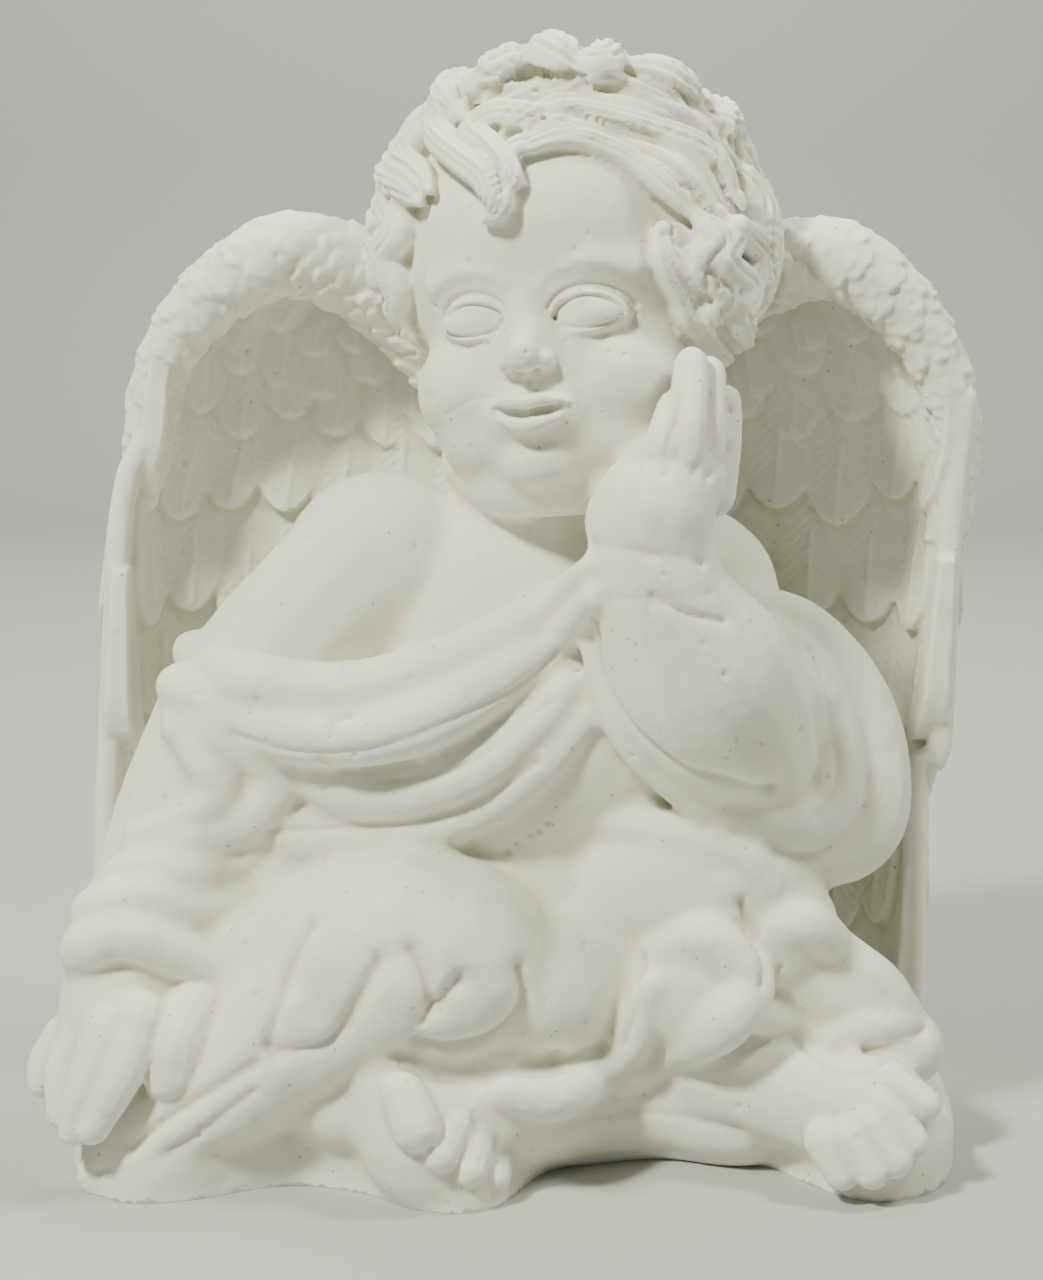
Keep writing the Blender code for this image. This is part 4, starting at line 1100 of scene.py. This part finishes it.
def plaster():
    """Matt white casting plaster, faintly mottled, with painted shade that makes its creases darker and
    yellower, a painted highlight on its crests, dark specks painted as the shade in pinholes, and a fine
    grain.
    """
    material = bpy.data.materials.new("plaster")
    material.use_nodes = True
    nodes, links = material.node_tree.nodes, material.node_tree.links
    surface = nodes["Principled BSDF"]
    surface.inputs["Roughness"].default_value = 0.82
    surface.inputs["Specular IOR Level"].default_value = 0.35
    surface.inputs["Metallic"].default_value = 0

    def node(kind, **values):
        made = nodes.new(kind)
        for name, value in values.items():
            made.inputs[name].default_value = value
        return made

    def mix(factor, first, second):
        made = nodes.new("ShaderNodeMix")
        made.data_type = "RGBA"
        links.new(factor, made.inputs["Factor"])
        for number, colour in ((6, first), (7, second)):
            if isinstance(colour, tuple):
                made.inputs[number].default_value = colour
            else:
                links.new(colour, made.inputs[number])
        return made.outputs[2]

    def ramp(value, low, high):
        made = nodes.new("ShaderNodeMapRange")
        made.inputs["From Min"].default_value = low
        made.inputs["From Max"].default_value = high
        links.new(value, made.inputs["Value"])
        return made.outputs["Result"]

    place = nodes.new("ShaderNodeTexCoord").outputs["Object"]
    mottle = node("ShaderNodeTexNoise", Scale=38.0, Detail=4.0)
    grain = node("ShaderNodeTexNoise", Scale=1500.0, Detail=3.0)
    lumps = node("ShaderNodeTexNoise", Scale=260.0, Detail=3.0)
    pinhole_shade_cells = node("ShaderNodeTexVoronoi", Scale=170.0)
    for texture in (mottle, grain, lumps, pinhole_shade_cells):
        links.new(place, texture.inputs["Vector"])
    crease_depth_for_painted_light = nodes.new("ShaderNodeAttribute")
    crease_depth_for_painted_light.attribute_name = "crease_depth_for_painted_light"
    colour = mix(ramp(mottle.outputs["Fac"], 0.35, 0.7), (0.79, 0.795, 0.70, 1), (0.83, 0.835, 0.745, 1))
    # Painted shade: creases are mixed towards a darker, yellower colour by their depth
    colour = mix(ramp(crease_depth_for_painted_light.outputs["Fac"], 0.56, 1.3), colour, (0.60, 0.57, 0.45, 1))
    # Painted highlight: crests and raised edges are mixed towards a lighter colour by their crease depth
    colour = mix(ramp(crease_depth_for_painted_light.outputs["Fac"], 0.44, 0.0), colour, (0.88, 0.88, 0.83, 1))
    # Painted shade: scattered dark specks stand for the shade inside pinholes
    pinhole_shade_specks = ramp(pinhole_shade_cells.outputs["Distance"], 0.075, 0.05)
    colour = mix(pinhole_shade_specks, colour, (0.52, 0.49, 0.40, 1))
    links.new(colour, surface.inputs["Base Color"])
    grainy = node("ShaderNodeBump", Strength=0.25, Distance=0.0002)
    links.new(grain.outputs["Fac"], grainy.inputs["Height"])
    lumpy = node("ShaderNodeBump", Strength=0.22, Distance=0.0006)
    links.new(lumps.outputs["Fac"], lumpy.inputs["Height"])
    links.new(grainy.outputs["Normal"], lumpy.inputs["Normal"])
    links.new(lumpy.outputs["Normal"], surface.inputs["Normal"])
    return material


def figurine():
    """Makes the pieces and lets them stand for the solid."""
    mesh, sweep, tresses, ringlets = angel()
    cut_underside(mesh)
    carve(mesh, sweep, tresses, ringlets)
    normals = [vert.normal.copy() for vert in mesh.vertices]
    # Crease depths for the painted shade in creases and the painted highlight on crests
    painted_light_crease_depths = crease_depths_for_painted_light(mesh)
    points = KDTree(len(normals))
    for vert in mesh.vertices:
        points.insert(vert.co, vert.index)
    points.balance()
    finish = plaster()
    for name, piece, inner in split(mesh):
        piece = thinned_inside(piece, inner, PIECES[name])
        finish_piece(piece, points, normals, painted_light_crease_depths)
        piece.materials.append(finish)
        holder = placed(name, piece)
        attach(holder, "root")
        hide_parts(SOLID)


def plain(name, colour, roughness):
    """A plain matt material for the floor and the backdrop."""
    material = bpy.data.materials.new(name)
    material.use_nodes = True
    surface = material.node_tree.nodes["Principled BSDF"]
    surface.inputs["Base Color"].default_value = colour
    surface.inputs["Roughness"].default_value = roughness
    return material


def studio():
    """A pale floor that sweeps up into a backdrop."""
    form = bmesh.new()
    reach, bend, wall_height = 1.6, 0.35, 1.8
    profile = [(-2.0, 0.0), (reach, 0.0)]
    for number in range(1, 9):
        angle = math.radians(90 * number / 8)
        profile.append((reach + bend * math.sin(angle), bend * (1 - math.cos(angle))))
    profile.append((reach + bend, wall_height))
    rows = [[form.verts.new((x, y, z)) for x in (-3, 3)] for y, z in profile]
    for low, high in zip(rows, rows[1:]):
        form.faces.new((low[0], low[1], high[1], high[0]))
    sweep = bpy.data.meshes.new("floor")
    form.to_mesh(sweep)
    form.free()
    sweep.shade_smooth()
    sweep.materials.append(plain("studio_floor", (0.46, 0.46, 0.455, 1), 0.9))
    floor = placed("floor", sweep)
    floor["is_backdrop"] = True


def lamp(name, place, aim, size, power, colour):
    """A square soft light."""
    light = bpy.data.lights.new(name, "AREA")
    light.size = size
    light.energy = power
    light.color = colour
    holder = placed(name, light)
    holder.location = place
    holder.rotation_euler = (Vector(aim) - Vector(place)).to_track_quat("-Z", "Y").to_euler()


def lights():
    """Two soft lamps on the figure, one on the backdrop, and a faint light from all round."""
    chest = (0, 0, CAD_BOX[1].z / 2)
    lamp("key", (-0.5, -0.55, 0.9), chest, 0.14, 17, (1, 1, 0.83))
    lamp("second", (0.6, -0.1, 0.9), chest, 0.18, 7, (1, 1, 0.83))
    lamp("backdrop", (0, 0.6, 1.5), (0, 1.9, 0.4), 1.0, 36, (1, 0.99, 0.86))
    world = bpy.data.worlds.new("studio")
    world.use_nodes = True
    sky = world.node_tree.nodes["Background"]
    sky.inputs["Color"].default_value = (0.98, 1, 0.86, 1)
    sky.inputs["Strength"].default_value = 0.13
    bpy.context.scene.world = world


# The camera: its distance before the figure, its height, its tilt and its view, for a frame of 1043 by 1280
CAMERA_DISTANCE = 0.560
CAMERA_HEIGHT = 0.190
CAMERA_TILT = math.radians(7.75)
CAMERA_FOCAL = 2428 / 1280


def camera():
    """The photograph's view, without depth of field."""
    view = bpy.data.cameras.new("camera")
    view.sensor_fit = "VERTICAL"
    view.sensor_height = 24
    view.lens = view.sensor_height * CAMERA_FOCAL
    holder = placed("camera", view)
    holder.location = (0, -CAMERA_DISTANCE, CAMERA_HEIGHT)
    holder.rotation_euler = (math.pi / 2 - CAMERA_TILT, 0, 0)
    bpy.context.scene.camera = holder


camera()
lights()
studio()
figurine()
({name: [list(corner) for corner in box] for name, box in
           (("cad", CAD_BOX), ("shown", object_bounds()))})
